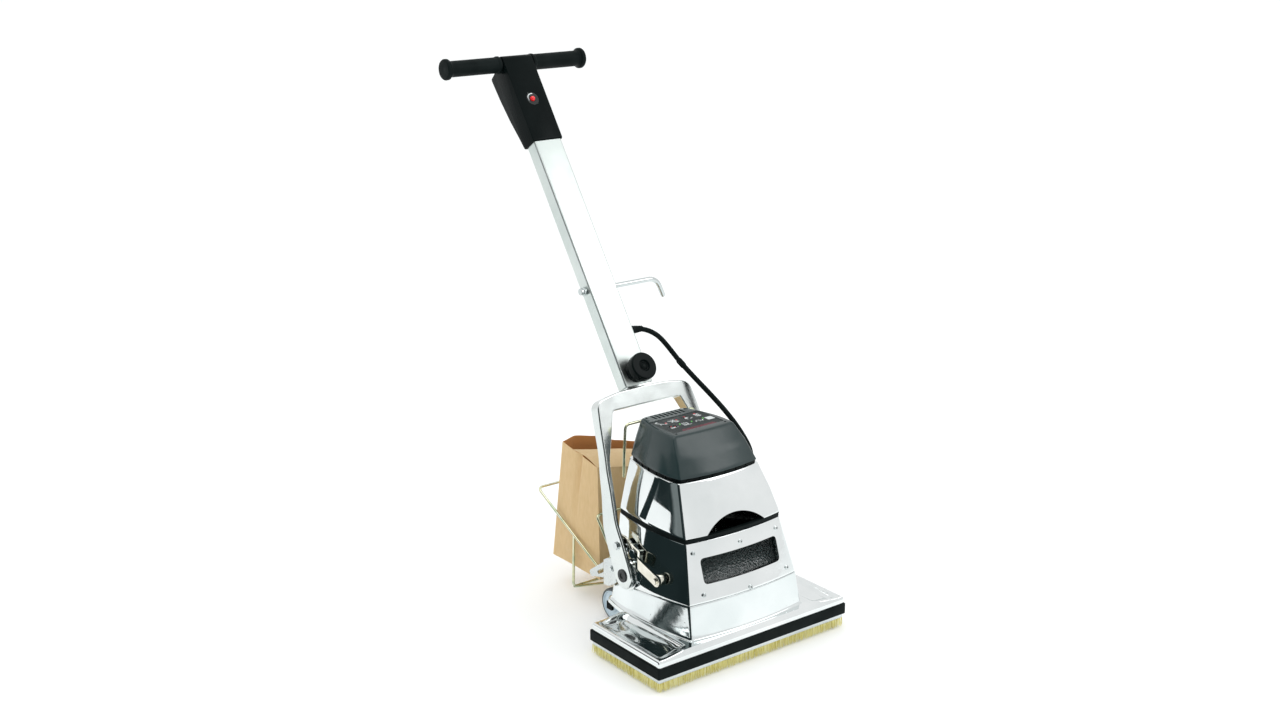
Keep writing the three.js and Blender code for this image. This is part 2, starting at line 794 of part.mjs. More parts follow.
// Foot pedal: a bent arm with a roller in front and a tail that reaches over the catch roller
const pedalOutline = flatShape([
  [-7, 157],
  [-3, 148],
  [5, 145.5],
  [14, 149],
  [84, 170],
  [95, 180],
  [100, 191.5],
  [138, 199.5],
  [139, 206],
  [108, 204],
  [92, 193.5],
  [80, 190.5],
  [6, 168.5],
  [-4, 165],
]);
const pedalBend = flatShape([
  [-10, -149.4],
  [58, -149.4],
  [73, -136.6],
  [145, -136.6],
  [145, -132.2],
  [71, -132.2],
  [56, -145],
  [-10, -145],
].map(([y, x]) => [x, y]));
const pedalPlate = cut(
  common(sidePlate(pedalOutline, -155, -125), topPlate(pedalBend, 130, 220)),
  rodX(5.4, -160, -120, pedalPivot, 20),
);
const pedalScrew = join(
  rodX(4, -150.5, -131.5, pedalRollerCentre, 12),
  hexAlong(6.5, -153.5, -149.3, pedalRollerCentre),
);
add("pedal_lever", join(pedalPlate, pedalScrew), satinAlloy);
add(
  "pedal_pin",
  join(rodX(5, -136.9, -119, pedalPivot, 20), rodX(8.5, -141, -136.9, pedalPivot, 20)),
  chromeSteel,
);
add(
  "pedal_roller",
  cut(rodX(11, -144.6, -131.5, pedalRollerCentre, 24), rodX(4.4, -160, -120, pedalRollerCentre, 12)),
  chromeSteel,
);

// Handle: a rectangular tube, the switch head on its top, the T-bar with its grips
const hollowTube = (halfX, halfY, wall, z0, z1) =>
  cut(
    topPlate(roundedRectangle(-halfX, -halfY, halfX, halfY, 3), z0, z1),
    boxBetween([-halfX + wall, -halfY + wall, z0 - 1], [halfX - wall, halfY - wall, z1 + 1]),
  );
const toHandle = handleFrame.matrixWorld.clone().invert();
const localHook = new THREE.Vector3(0, hookAxis.y - originY, hookAxis.z).applyMatrix4(toHandle);
const knobHole = new THREE.CylinderGeometry(5.6, 5.6, 20, 16).translate(0, -tubeDepth / 2, knobAlong);
const buttonHole = (radius) =>
  new THREE.CylinderGeometry(radius, radius, 30, 20).translate(0, -tubeDepth / 2 - 5, buttonAlong);
addTo(
  handleFrame,
  "handle_tube",
  cut(
    hollowTube(tubeWidth / 2, tubeDepth / 2, tubeWall, tubeBottom, -16),
    knobHole,
    buttonHole(5.6),
    rodX(5.4, -40, 40, localHook, 16),
  ),
  satinAlloy,
);
const headHalf = 34.6;
const headFront = -18;
const headSide = new THREE.Shape();
[
  [headFront, 6],
  [headFront, -178],
  [21, -178],
  [25.5, -152],
  [35, -106],
  [41.5, -59],
  [44, -30],
  [45.4, -11],
  [headHeel.back, headHeel.along],
  [27, -4.5],
  [17, 8],
  [10, 13.5],
  [-6, 14],
  [-14, 11.5],
].forEach(([y, s], i) => (i ? headSide.lineTo(y, s) : headSide.moveTo(y, s)));
headSide.closePath();
addTo(
  handleFrame,
  "switch_head",
  cut(
    sidePlate(headSide, -headHalf, headHalf),
    boxBetween([-tubeWidth / 2 - gap, -tubeDepth / 2 - gap, -200], [tubeWidth / 2 + gap, tubeDepth / 2 + gap, -15.5]),
    rodX(11.9, -60, 60, { y: 0, z: 0 }, 24),
    buttonHole(5.6),
  ),
  blackPlastic,
);
addTo(handleFrame, "t_bar", boredDisc(11.5, 9.3, -157, 157, { y: 0, z: 0 }, 24, 16), chromeSteel);
for (const [name, side] of [["grip_left", -1], ["grip_right", 1]]) {
  const profile = [
    [11.9, gripInner],
    [17.3, gripInner],
    [17.3, gripInner + 5],
    [15.8, gripInner + 7],
    [15.8, gripOuter - 16],
    [17.5, gripOuter - 11],
    [20.5, gripOuter - 9],
    [20.7, gripOuter - 3],
    [18.5, gripOuter],
    [0, gripOuter],
    [0, 157.5],
    [11.9, 157.5],
    [11.9, gripInner],
  ];
  const mesh = addTo(handleFrame, name, turned(profile, 18).rotateZ(-Math.PI / 2), blackRubber);
  if (side < 0) mesh.rotation.y = Math.PI;
}
const button = addTo(
  handleFrame,
  "start_button",
  turned([[0, -6], [5.2, -6], [5.2, 4], [4.4, 6], [2.4, 7.2], [0, 7.6]], 16).rotateX(Math.PI),
  redLamp,
);
button.position.set(0, -tubeDepth / 2, buttonAlong);

// Clamping knob that holds the tube on its spigot
const knobProfile = [
  [0, -3],
  [5, -3],
  [5, gap],
  [20.5, gap],
  [22.5, 2.5],
  [22.5, 17],
  [26, 18],
  [27.2, 20],
  [27.2, 33],
  [25.5, 35.5],
  [11, 35.5],
  [10, 33],
  [4, 33],
  [0, 34],
];
const knob = addTo(handleFrame, "clamp_knob", turned(knobProfile, 24).rotateX(Math.PI), blackPlastic);
knob.position.set(0, -tubeDepth / 2, knobAlong);

// Cable hook through the tube, with its collar and its nut
const hookRod = 5;
const hookRoute = [
  [-41, 0, 0],
  [139, 0, 0],
  [158, 0, -40],
].map(([x, y, z]) => [x, hookAxis.y + y, hookAxis.z + z]);
add(
  "cable_hook",
  join(
    wire(hookRoute, hookRod, 20, 10),
    rodX(8.5, tubeWidth / 2 + gap, tubeWidth / 2 + 4, hookAxis, 20),
    hexAlong(9, -39.5, -tubeWidth / 2 - gap, hookAxis),
    rodX(6.6, -46, -39, hookAxis, 16),
  ),
  chromeSteel,
);

// Cord from the switch to the motor, in two lengths that meet above the yoke. Each leaves its
// gland along X on an arc, and runs on as a smooth curve to the meeting point.
const glandAt = { y: 318.5, z: 522 };
const coverGland = { x: 107, y: 96, z: 262 };
const cordMeeting = new THREE.Vector3(102, 245, 461);
const cordHeading = new THREE.Vector3(0.233, -0.739, -0.632).normalize();
const cordBend = 46;
const cordRun = (start, away, turn, reach, end, side) => {
  const aside = new THREE.Vector3(0, ...away).normalize();
  const points = [];
  for (let angle = 0; angle <= turn; angle += 15) {
    const a = THREE.MathUtils.degToRad(angle);
    const onArc = new THREE.Vector3(...start).addScaledVector(aside, cordBend * (1 - Math.cos(a)));
    onArc.x += cordBend * Math.sin(a);
    points.push(onArc);
  }
  const last = THREE.MathUtils.degToRad(turn);
  const onward = new THREE.Vector3(Math.cos(last), 0, 0).addScaledVector(aside, Math.sin(last));
  const arcEnd = points.at(-1);
  const curve = new THREE.CubicBezierCurve3(
    arcEnd,
    arcEnd.clone().addScaledVector(onward, reach),
    end.clone().addScaledVector(cordHeading, side * reach),
    end,
  );
  const steps = Math.round(curve.getLength() / 14);
  return [...points, ...curve.getPoints(steps).slice(1)];
};
add("cord_gland", rodX(8, tubeWidth / 2 + gap, 44, glandAt, 16), blackRubber);
const cordUpperRoute = cordRun([45.2, glandAt.y, glandAt.z], [-0.787, -0.617], 75, 20, cordMeeting, -1);
const meetingGap = 1.2;
const cordLowerRoute = cordRun(
  [122.3, coverGland.y, coverGland.z + 0.2],
  [0.4, 0.9165],
  105,
  68,
  cordMeeting.clone().addScaledVector(cordHeading, meetingGap),
  1,
);
const cordAlong = (route) =>
  sweep(new THREE.CatmullRomCurve3(route).getSpacedPoints(route.length * 2), cordRadius, 10);
add("cord_upper", cordAlong(cordUpperRoute), blackRubber);
add("cord_lower", cordAlong(cordLowerRoute), blackRubber);
add("cover_gland", rodX(6, 101, 120.5, coverGland, 16), blackRubber);

// Wire rack behind the machine, its brackets and the hanger wire on the cover
const bracketOutline = flatShape([
  [137, 104],
  [137, 150],
  [160, 147],
  [192, 128],
  [262, 78],
  [256, 68],
  [200, 84],
  [158, 90],
]);
const bracketPlan = flatShape([
  [-138.4, 136],
  [-138.4, 176],
  [-109.5, 214],
  [-109.5, 266],
  [-106.7, 266],
  [-106.7, 212],
  [-135.4, 174],
  [-135.4, 136],
]);
const bracket = common(sidePlate(bracketOutline, -145, -100), topPlate(bracketPlan, 60, 170));
add("rack_bracket_left", bracket, satinAlloy);
add("rack_bracket_right", geometryOf(solidOf(bracket).mirror([1, 0, 0])), satinAlloy);
const rackX = rackHalfWidth - wireRadius;
const hoop = (y0, z0, y1, z1, bend) =>
  wire([[-rackX, y0, z0], [-rackX, y1, z1], [rackX, y1, z1], [rackX, y0, z0]], wireRadius, bend);
const rackArms = hoop(236, 85.5, 446, 190, 12);
const rackCradle = hoop(323, 129, 327, 18, 8);
const rackFront = hoop(196, 131, 248, 194, 9);
const rackLink = wire([[-rackX, 196, 131], [-rackX, 236, 85.5], [-rackX, 300, 117.4]], wireRadius, 4);
const rackBrace = wire([[-rackX, 327, 18], [0, 286, 18], [rackX, 327, 18]], wireRadius, 12);
add(
  "rack_frame",
  join(rackArms, rackCradle, rackFront, rackBrace, rackLink, rackLink.clone().translate(2 * rackX, 0, 0)),
  zincWire,
);
const hangerHalf = 82;
const hangerSide = [
  [186, 286],
  [185, 330],
  [181, 391],
];
const hangerRoute = [
  ...hangerSide.map(([y, z]) => [-hangerHalf, y, z]),
  ...[...hangerSide].reverse().map(([y, z]) => [hangerHalf, y, z]),
];
add("bag_hanger", wire(hangerRoute, wireRadius, 9), zincWire);

// Paper dust bag, open at the top; it narrows upwards and its mouth slopes down to the right
const bagHalf = 92;
const paper = 2;
const bagBottom = 57;
const bagLoop = (inset, front, rear, heights) =>
  [
    [-1, front + inset, heights[0]],
    [1, front + inset, heights[1]],
    [1, rear - inset, heights[2]],
    [-1, rear - inset, heights[3]],
  ].map(([side, y, z]) => new THREE.Vector3(side * (bagHalf - inset), y, z));
const mouthHeights = [286, 250, 268, 307];
add(
  "dust_bag",
  cut(
    loft([bagLoop(0, 250, 409, [bagBottom, bagBottom, bagBottom, bagBottom]), bagLoop(0, 256, 371, mouthHeights)]),
    loft([
      bagLoop(paper, 250, 409, mouthHeights.map(() => bagBottom + paper)),
      bagLoop(paper, 256, 371, mouthHeights.map((z) => z + 1)),
    ]),
  ),
  kraftPaper,
);

export default group;
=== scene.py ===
import math
import random

import bmesh
import bpy
from mathutils import Matrix, Vector, noise


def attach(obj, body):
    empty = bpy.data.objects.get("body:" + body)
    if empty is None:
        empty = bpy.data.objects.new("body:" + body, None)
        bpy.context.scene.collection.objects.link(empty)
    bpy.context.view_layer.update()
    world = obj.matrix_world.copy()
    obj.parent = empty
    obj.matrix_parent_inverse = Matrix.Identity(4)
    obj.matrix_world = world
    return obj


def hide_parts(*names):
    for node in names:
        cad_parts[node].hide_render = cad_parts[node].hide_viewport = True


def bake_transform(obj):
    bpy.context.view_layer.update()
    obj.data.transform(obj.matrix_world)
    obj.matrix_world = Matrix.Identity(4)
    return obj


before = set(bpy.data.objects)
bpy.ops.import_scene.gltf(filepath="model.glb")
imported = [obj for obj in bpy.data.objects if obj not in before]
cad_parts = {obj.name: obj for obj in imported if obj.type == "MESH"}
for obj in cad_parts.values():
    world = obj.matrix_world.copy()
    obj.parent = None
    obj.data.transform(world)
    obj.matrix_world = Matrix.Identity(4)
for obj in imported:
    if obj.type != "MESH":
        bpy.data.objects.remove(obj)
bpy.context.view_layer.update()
print("frame loaded,", len(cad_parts), "parts")

# Every shape is drawn in millimetres, in one of these three spaces, and moved to its place in metres.
middleY = 290.645  # the row's origin stands this far behind the base's centre
pivotPlace = (0, 105, 132)
barPlace = (0, 652.8, 1003.3)


def spaceAt(place, leanDegrees=0):
    x, y, z = place
    move = Matrix.Translation(Vector((x, y - middleY, z)) / 1000)
    return move @ Matrix.Rotation(math.radians(-leanDegrees), 4, "X") @ Matrix.Scale(0.001, 4)


machineSpace = spaceAt((0, 0, 0))
yokeSpace = spaceAt(pivotPlace, 25.3)
handleSpace = spaceAt(barPlace, 34.68)

# Camera and the two cords come first
cameraSettings = {"place": (-1863.2, -2176.3, 1409.5), "turn": (73.18, 0.0, -37.6), "lens": 47.44}
cameraData = bpy.data.cameras.new("viewCamera")
cameraData.lens = cameraSettings["lens"]
cameraData.sensor_width = 36
cameraObject = bpy.data.objects.new("viewCamera", cameraData)
bpy.context.scene.collection.objects.link(cameraObject)
cameraObject.location = machineSpace @ Vector(cameraSettings["place"])
cameraObject.rotation_euler = [math.radians(a) for a in cameraSettings["turn"]]
bpy.context.scene.camera = cameraObject

# Node and material helpers


def addNode(tree, kind, settings=None, inputs=None):
    node = tree.nodes.new(kind)
    for key, value in (settings or {}).items():
        setattr(node, key, value)
    for key, value in (inputs or {}).items():
        if isinstance(value, bpy.types.NodeSocket):
            tree.links.new(value, node.inputs[key])
        else:
            node.inputs[key].default_value = value
    return node


def coordinates(tree, stretch=(1, 1, 1), turn=(0, 0, 0)):
    place = addNode(tree, "ShaderNodeTexCoord")
    mapping = addNode(tree, "ShaderNodeMapping", inputs={"Vector": place.outputs["Object"]})
    mapping.inputs["Scale"].default_value = stretch
    mapping.inputs["Rotation"].default_value = [math.radians(a) for a in turn]
    return mapping.outputs["Vector"]


def noiseOf(tree, scale, detail=3, stretch=(1, 1, 1), turn=(0, 0, 0)):
    node = addNode(tree, "ShaderNodeTexNoise", inputs={"Vector": coordinates(tree, stretch, turn)})
    node.inputs["Scale"].default_value = scale
    node.inputs["Detail"].default_value = detail
    return node.outputs["Fac"]


def cellsOf(tree, scale):
    node = addNode(tree, "ShaderNodeTexVoronoi", {"feature": "F1"}, {"Vector": coordinates(tree)})
    node.inputs["Scale"].default_value = scale
    return node.outputs["Distance"]


def ranged(tree, value, low, high, fromLow=0.3, fromHigh=0.7):
    node = addNode(tree, "ShaderNodeMapRange", inputs={"Value": value})
    for key, number in (("From Min", fromLow), ("From Max", fromHigh), ("To Min", low), ("To Max", high)):
        node.inputs[key].default_value = number
    return node.outputs["Result"]


def ramped(tree, value, stops):
    node = addNode(tree, "ShaderNodeValToRGB", inputs={"Fac": value})
    ramp = node.color_ramp
    while len(ramp.elements) < len(stops):
        ramp.elements.new(0.5)
    for element, (place, colour) in zip(ramp.elements, stops):
        element.position = place
        element.color = (*colour, 1)
    return node.outputs["Color"]


def bumped(tree, shader, height, strength, distance):
    node = addNode(
        tree, "ShaderNodeBump", inputs={"Height": height, "Strength": strength, "Distance": distance}
    )
    before = shader.inputs["Normal"].links
    if before:
        tree.links.new(before[0].from_socket, node.inputs["Normal"])
    tree.links.new(node.outputs["Normal"], shader.inputs["Normal"])


# colours: (dark, light), rough: (low, high), grain: (scale, strength, distance in m, stretch)
def surface(name, colours, rough, metal=0.0, grain=(), slowScale=9, fineScale=60, sockets=None):
    material = bpy.data.materials.new(name)
    material.use_nodes = True
    tree = material.node_tree
    shader = tree.nodes["Principled BSDF"]
    dark, light = colours
    colour = ramped(tree, noiseOf(tree, slowScale, 4), [(0.32, dark), (0.68, light)])
    tree.links.new(colour, shader.inputs["Base Color"])
    tree.links.new(ranged(tree, noiseOf(tree, fineScale, 4), *rough), shader.inputs["Roughness"])
    shader.inputs["Metallic"].default_value = metal
    for key, value in (sockets or {}).items():
        shader.inputs[key].default_value = value
    for scale, strength, distance, stretch in grain:
        bumped(tree, shader, noiseOf(tree, scale, 3, stretch), strength, distance)
    return material


def shaderOf(material):
    return material.node_tree, material.node_tree.nodes["Principled BSDF"]


even = (1, 1, 1)
polishedAlloy = surface(
    "polishedAlloy", ((0.76, 0.80, 0.80), (0.87, 0.90, 0.90)), (0.035, 0.10), 1.0,
    [(14, 0.10, 0.004, even), (60, 0.05, 0.0008, even)], fineScale=35,
)
castAlloy = surface(
    "castAlloy", ((0.68, 0.73, 0.73), (0.80, 0.84, 0.84)), (0.05, 0.14), 1.0,
    [(16, 0.14, 0.004, even), (90, 0.06, 0.0008, even)], fineScale=30,
)
tree, shader = shaderOf(castAlloy)  # a few small casting pits
bumped(tree, shader, ranged(tree, cellsOf(tree, 95), 0, 1, 0.03, 0.10), 0.25, 0.0006)
yokeAlloy = surface(
    "yokeAlloy", ((0.66, 0.71, 0.70), (0.77, 0.81, 0.80)), (0.14, 0.26), 1.0,
    [(18, 0.16, 0.004, even), (120, 0.05, 0.0006, even)], fineScale=24,
)
tubeAlloy = surface(
    "tubeAlloy", ((0.60, 0.66, 0.64), (0.69, 0.74, 0.72)), (0.26, 0.40), 1.0,
    [(400, 0.05, 0.0003, (1, 0.05, 0.05)), (12, 0.08, 0.003, even)], fineScale=40,
)
sheetSteel = surface(
    "sheetSteel", ((0.60, 0.64, 0.65), (0.74, 0.78, 0.78)), (0.18, 0.34), 1.0,
    [(300, 0.05, 0.0003, (1, 0.1, 0.1))],
)
chromeSteel = surface(
    "chromeSteel", ((0.52, 0.57, 0.57), (0.70, 0.74, 0.74)), (0.05, 0.12), 1.0,
    [(150, 0.04, 0.0003, even)],
)
pedalSteel = surface(
    "pedalSteel", ((0.72, 0.69, 0.58), (0.88, 0.86, 0.78)), (0.06, 0.16), 1.0,
    [(90, 0.06, 0.0004, even)], slowScale=60,
)
blackSteel = surface(
    "blackSteel", ((0.012, 0.014, 0.014), (0.03, 0.034, 0.034)), (0.28, 0.45), 0.3,
    [(220, 0.12, 0.0003, even)],
)
blackRubber = surface(
    "blackRubber", ((0.003, 0.006, 0.006), (0.007, 0.011, 0.011)), (0.42, 0.58), 0.0,
    [(700, 0.10, 0.0003, even), (40, 0.06, 0.001, even)], slowScale=25, sockets={"Specular IOR Level": 0.06},
)
blackPlastic = surface(
    "blackPlastic", ((0.002, 0.004, 0.004), (0.004, 0.007, 0.007)), (0.20, 0.30), 0.0,
    [(1100, 0.04, 0.0002, even), (10, 0.04, 0.003, even)], sockets={"Specular IOR Level": 0.06},
)
slatePlastic = surface(
    "slatePlastic", ((0.016, 0.031, 0.032), (0.024, 0.041, 0.042)), (0.16, 0.24), 0.0,
    [(1300, 0.08, 0.0002, even), (9, 0.05, 0.004, even)], sockets={"Specular IOR Level": 0.42},
)
panelFilm = surface(
    "panelFilm", ((0.016, 0.024, 0.024), (0.024, 0.032, 0.032)), (0.40, 0.50), 0.0,
    [(1600, 0.12, 0.0002, even)], sockets={"Specular IOR Level": 0.15},
)
wheelPlastic = surface(
    "wheelPlastic", ((0.50, 0.62, 0.70), (0.64, 0.74, 0.80)), (0.30, 0.45), 0.0,
    [(160, 0.08, 0.0005, even)],
)
tyreRubber = surface(
    "tyreRubber", ((0.05, 0.065, 0.07), (0.09, 0.11, 0.12)), (0.50, 0.65), 0.0,
    [(500, 0.15, 0.0003, even)],
)
whiteInk = surface(
    "whiteInk", ((0.60, 0.65, 0.65), (0.76, 0.80, 0.80)), (0.35, 0.5), 0.0, [(900, 0.1, 0.0001, even)]
)
redInk = surface(
    "redInk", ((0.62, 0.012, 0.03), (0.76, 0.03, 0.06)), (0.35, 0.5), 0.0, [(900, 0.1, 0.0001, even)]
)
greenInk = surface(
    "greenInk", ((0.06, 0.45, 0.04), (0.10, 0.60, 0.07)), (0.35, 0.5), 0.0, [(900, 0.1, 0.0001, even)]
)
dimRedInk = surface(
    "dimRedInk", ((0.16, 0.012, 0.03), (0.30, 0.02, 0.05)), (0.4, 0.5), 0.0, [(900, 0.1, 0.0001, even)]
)
redLamp = surface(
    "redLamp", ((0.50, 0.0, 0.005), (0.85, 0.01, 0.015)), (0.05, 0.12), 0.0,
    [(60, 0.1, 0.0005, even)], slowScale=120, sockets={"Coat Weight": 0.8, "Emission Strength": 0.25},
)
shaderOf(redLamp)[1].inputs["Emission Color"].default_value = (0.8, 0.01, 0.01, 1)

zincWire = surface(
    "zincWire", ((0.50, 0.52, 0.38), (0.80, 0.78, 0.60)), (0.10, 0.22), 1.0,
    [(260, 0.08, 0.0003, even)], slowScale=30,
)
tree, shader = shaderOf(zincWire)  # the yellow passivation drifts to green and grey along the wire
shade = ramped(
    tree,
    noiseOf(tree, 17, 3),
    [
        (0.30, (0.62, 0.66, 0.62)),
        (0.48, (0.76, 0.76, 0.52)),
        (0.58, (0.50, 0.58, 0.40)),
        (0.72, (0.80, 0.81, 0.76))
    ]
)
tree.links.new(shade, shader.inputs["Base Color"])

abrasiveCloth = surface(
    "abrasiveCloth", ((0.035, 0.050, 0.050), (0.065, 0.085, 0.085)), (0.16, 0.26), 0.0, slowScale=30,
    sockets={"Specular IOR Level": 0.95},
)
tree, shader = shaderOf(abrasiveCloth)
grit = addNode(tree, "ShaderNodeTexVoronoi", {"feature": "SMOOTH_F1"}, {"Vector": coordinates(tree)})
grit.inputs["Scale"].default_value = 250
bumped(tree, shader, grit.outputs["Distance"], 1.0, 0.0022)
bumped(tree, shader, noiseOf(tree, 420, 2), 0.4, 0.0006)

clearPane = surface("clearPane", ((0.02, 0.03, 0.03), (0.03, 0.04, 0.04)), (0.03, 0.07), 0.0)
shaderOf(clearPane)[1].inputs["Alpha"].default_value = 0.10
clearPane.surface_render_method = "BLENDED"

bristleFibre = surface("bristleFibre", ((0.50, 0.44, 0.16), (0.78, 0.73, 0.36)), (0.45, 0.65), 0.0)
tree, shader = shaderOf(bristleFibre)  # each strand has its own shade
strand = addNode(tree, "ShaderNodeAttribute", {"attribute_name": "strand"})
shade = ramped(
    tree,
    strand.outputs["Fac"],
    [
        (0.0, (0.56, 0.48, 0.10)),
        (0.35, (0.86, 0.79, 0.28)),
        (0.8, (0.93, 0.90, 0.46)),
        (1.0, (0.98, 0.96, 0.70))
    ]
)
tree.links.new(shade, shader.inputs["Base Color"])

kraftPaper = surface(
    "kraftPaper", ((0.56, 0.36, 0.18), (0.64, 0.43, 0.23)), (0.55, 0.72), 0.0,
    [(900, 0.20, 0.0002, (1, 1, 0.2)), (28, 0.22, 0.0016, (1, 1, 0.35))], slowScale=14,
)
tree, shader = shaderOf(kraftPaper)  # the inside is painted darker and warmer as shade inside the bag, the fibres run up the paper
inside = addNode(tree, "ShaderNodeAttribute", {"attribute_name": "inside"})
outer = ramped(
    tree, noiseOf(tree, 220, 5, (1, 1, 0.25)), [(0.2, (0.60, 0.42, 0.20)), (0.8, (0.68, 0.49, 0.26))]
)
# mixes in the painted shade on the inner face of the bag
paintedInsideShade = addNode(tree, "ShaderNodeMix", {"data_type": "RGBA"}, {"Factor": inside.outputs["Fac"]})
tree.links.new(outer, paintedInsideShade.inputs[6])
paintedInsideShade.inputs[7].default_value = (0.66, 0.29, 0.09, 1)
tree.links.new(paintedInsideShade.outputs[2], shader.inputs["Base Color"])
print("materials made")

# Shape helpers, all in millimetres


def ringLoft(rings, wrap=False, ends=True):
    bm = bmesh.new()
    rows = [[bm.verts.new(p) for p in ring] for ring in rings]
    pairs = list(zip(rows, rows[1:])) + ([(rows[-1], rows[0])] if wrap else [])
    count = len(rows[0])
    for lower, upper in pairs:
        for i in range(count):
            j = (i + 1) % count
            bm.faces.new((lower[i], lower[j], upper[j], upper[i]))
    if ends and not wrap:
        bm.faces.new(rows[0])
        bm.faces.new(rows[-1])
    bmesh.ops.remove_doubles(bm, verts=bm.verts, dist=1e-4)
    bmesh.ops.recalc_face_normals(bm, faces=bm.faces)
    return bm


directions = {
    "side": lambda a, b, d: (d, a, b),
    "front": lambda a, b, d: (a, d, b),
    "top": lambda a, b, d: (a, b, d),
}


def slab(outline, low, high, view):
    return ringLoft([[Vector(directions[view](a, b, d)) for a, b in outline] for d in (low, high)])


def roundedOutline(points, radius, steps=4, closed=True):
    result = []
    count = len(points)
    for i, point in enumerate(points):
        if not closed and i in (0, count - 1):
            result.append(tuple(point))
            continue
        here = Vector(point)
        before = Vector(points[i - 1]) - here
        after = Vector(points[(i + 1) % count]) - here
        reach = min(radius, before.length * 0.45, after.length * 0.45)
        start = here + before.normalized() * reach
        end = here + after.normalized() * reach
        for k in range(steps + 1):
            t = k / steps
            result.append(tuple((1 - t) ** 2 * start + 2 * t * (1 - t) * here + t**2 * end))
    return result


def rectangle(x0, y0, x1, y1, radius=0.0, steps=5):
    corners = [(x0, y0), (x1, y0), (x1, y1), (x0, y1)]
    return roundedOutline(corners, radius, steps) if radius else corners


def smoothLine(points, steps=6):
    places = [Vector(p) for p in points]
    result = []
    for i in range(len(places) - 1):
        before = places[max(i - 1, 0)]
        after = places[min(i + 2, len(places) - 1)]
        a, b = places[i], places[i + 1]
        for k in range(steps):
            t = k / steps
            result.append(
                0.5 * (
                    2 * a + (b - before) * t + (
                        2 * before - 5 * a + 4 * b - after
                    ) * t**2 + (3 * a - before - 3 * b + after) * t**3
                )
            )
    result.append(places[-1])
    return result


def circle(radius, segments, centre=(0, 0)):
    return [
        (
            centre[0] + radius * math.cos(2 * math.pi * i / segments),
            centre[1] + radius * math.sin(2 * math.pi * i / segments)
        )
        for i in range(segments)
    ]


# A turned shape: the profile is (radius, height) along local Z
def turned(profile, segments=48, soft=0.0, closed=False):
    line = roundedOutline(profile, soft, 4, closed) if soft else profile
    rings = [
        [
            Vector((r * math.cos(a), r * math.sin(a), h))
            for a in (2 * math.pi * i / segments for i in range(segments))
        ]
        for r, h in line
    ]
    return ringLoft(rings, wrap=closed, ends=False)


alongX = Matrix.Rotation(math.pi / 2, 4, "Y")  # local Z turned to +X
facingFront = Matrix.Rotation(math.pi / 2, 4, "X")  # local Z turned to -Y


def moved(bm, matrix=None, place=(0, 0, 0)):
    bm.transform(Matrix.Translation(Vector(place)) @ (matrix or Matrix.Identity(4)))
    return bm


def rod(radius, x0, x1, centre, segments=48, soft=0.6):
    y, z = centre
    return moved(turned([(0, x0), (radius, x0), (radius, x1), (0, x1)], segments, soft), alongX, (0, y, z))


def sleeve(outer, inner, x0, x1, centre, segments=48, soft=0.5):
    y, z = centre
    profile = [(inner, x0), (outer, x0), (outer, x1), (inner, x1)]
    return moved(turned(profile, segments, soft, True), alongX, (0, y, z))


def tube(points, radius, sides=14, cap=0.35):
    line = [Vector(p) for p in points]
    first = (line[1] - line[0]).normalized()
    last = (line[-1] - line[-2]).normalized()
    radii = [radius] * len(line)
    line = [
        line[0] + first * 0.02,
        line[0] + first * cap * radius,
        *line[1:-1],
        line[-1] - last * cap * radius,
        line[-1] - last * 0.02
    ]
    radii = [radius * 0.7, radius, *radii[1:-1], radius, radius * 0.7]
    across = first.orthogonal().normalized()
    rings = []
    for i, place in enumerate(line):
        way = (line[min(i + 1, len(line) - 1)] - line[max(i - 1, 0)]).normalized()
        across = (across - way * across.dot(way)).normalized()
        other = way.cross(across)
        rings.append(
            [
                place + radii[i] * (across * math.cos(a) + other * math.sin(a))
                for a in (2 * math.pi * k / sides for k in range(sides))
            ]
        )
    return ringLoft(rings)


def bentRoute(route, bend, steps=8):
    return [Vector(p) for p in roundedOutline(route, bend, steps, False)]


def together(*shapes):
    result = bmesh.new()
    for shape in shapes:
        mesh = bpy.data.meshes.new("part")
        shape.to_mesh(mesh)
        shape.free()
        result.from_mesh(mesh)
        bpy.data.meshes.remove(mesh)
    return result


def looseObject(name, bm):
    mesh = bpy.data.meshes.new(name)
    bm.to_mesh(mesh)
    bm.free()
    obj = bpy.data.objects.new(name, mesh)
    bpy.context.scene.collection.objects.link(obj)
    return obj


def evaluatedMesh(obj):
    graph = bpy.context.evaluated_depsgraph_get()
    return bpy.data.meshes.new_from_object(obj.evaluated_get(graph))


def carve(bm, *tools, operation="DIFFERENCE"):
    blank = looseObject("blank", bm)
    for tool in tools:
        cutter = looseObject("cutter", tool)
        modifier = blank.modifiers.new("carve", "BOOLEAN")
        modifier.object = cutter
        modifier.operation = operation
        modifier.solver = "EXACT"
        mesh = evaluatedMesh(blank)
        blank.modifiers.clear()
        blank.data = mesh
        bpy.data.objects.remove(cutter)
    result = bmesh.new()
    result.from_mesh(blank.data)
    bpy.data.objects.remove(blank)
    return result


def eased(bm, width, segments=2, angle=32, clamp=True):
    bmesh.ops.dissolve_degenerate(bm, edges=bm.edges, dist=0.01)
    edges = [e for e in bm.edges if len(e.link_faces) == 2 and e.calc_face_angle(0) > math.radians(angle)]
    bmesh.ops.bevel(
        bm, geom=edges, offset=width, segments=segments, profile=0.5, affect="EDGES", clamp_overlap=clamp
    )
    return bm
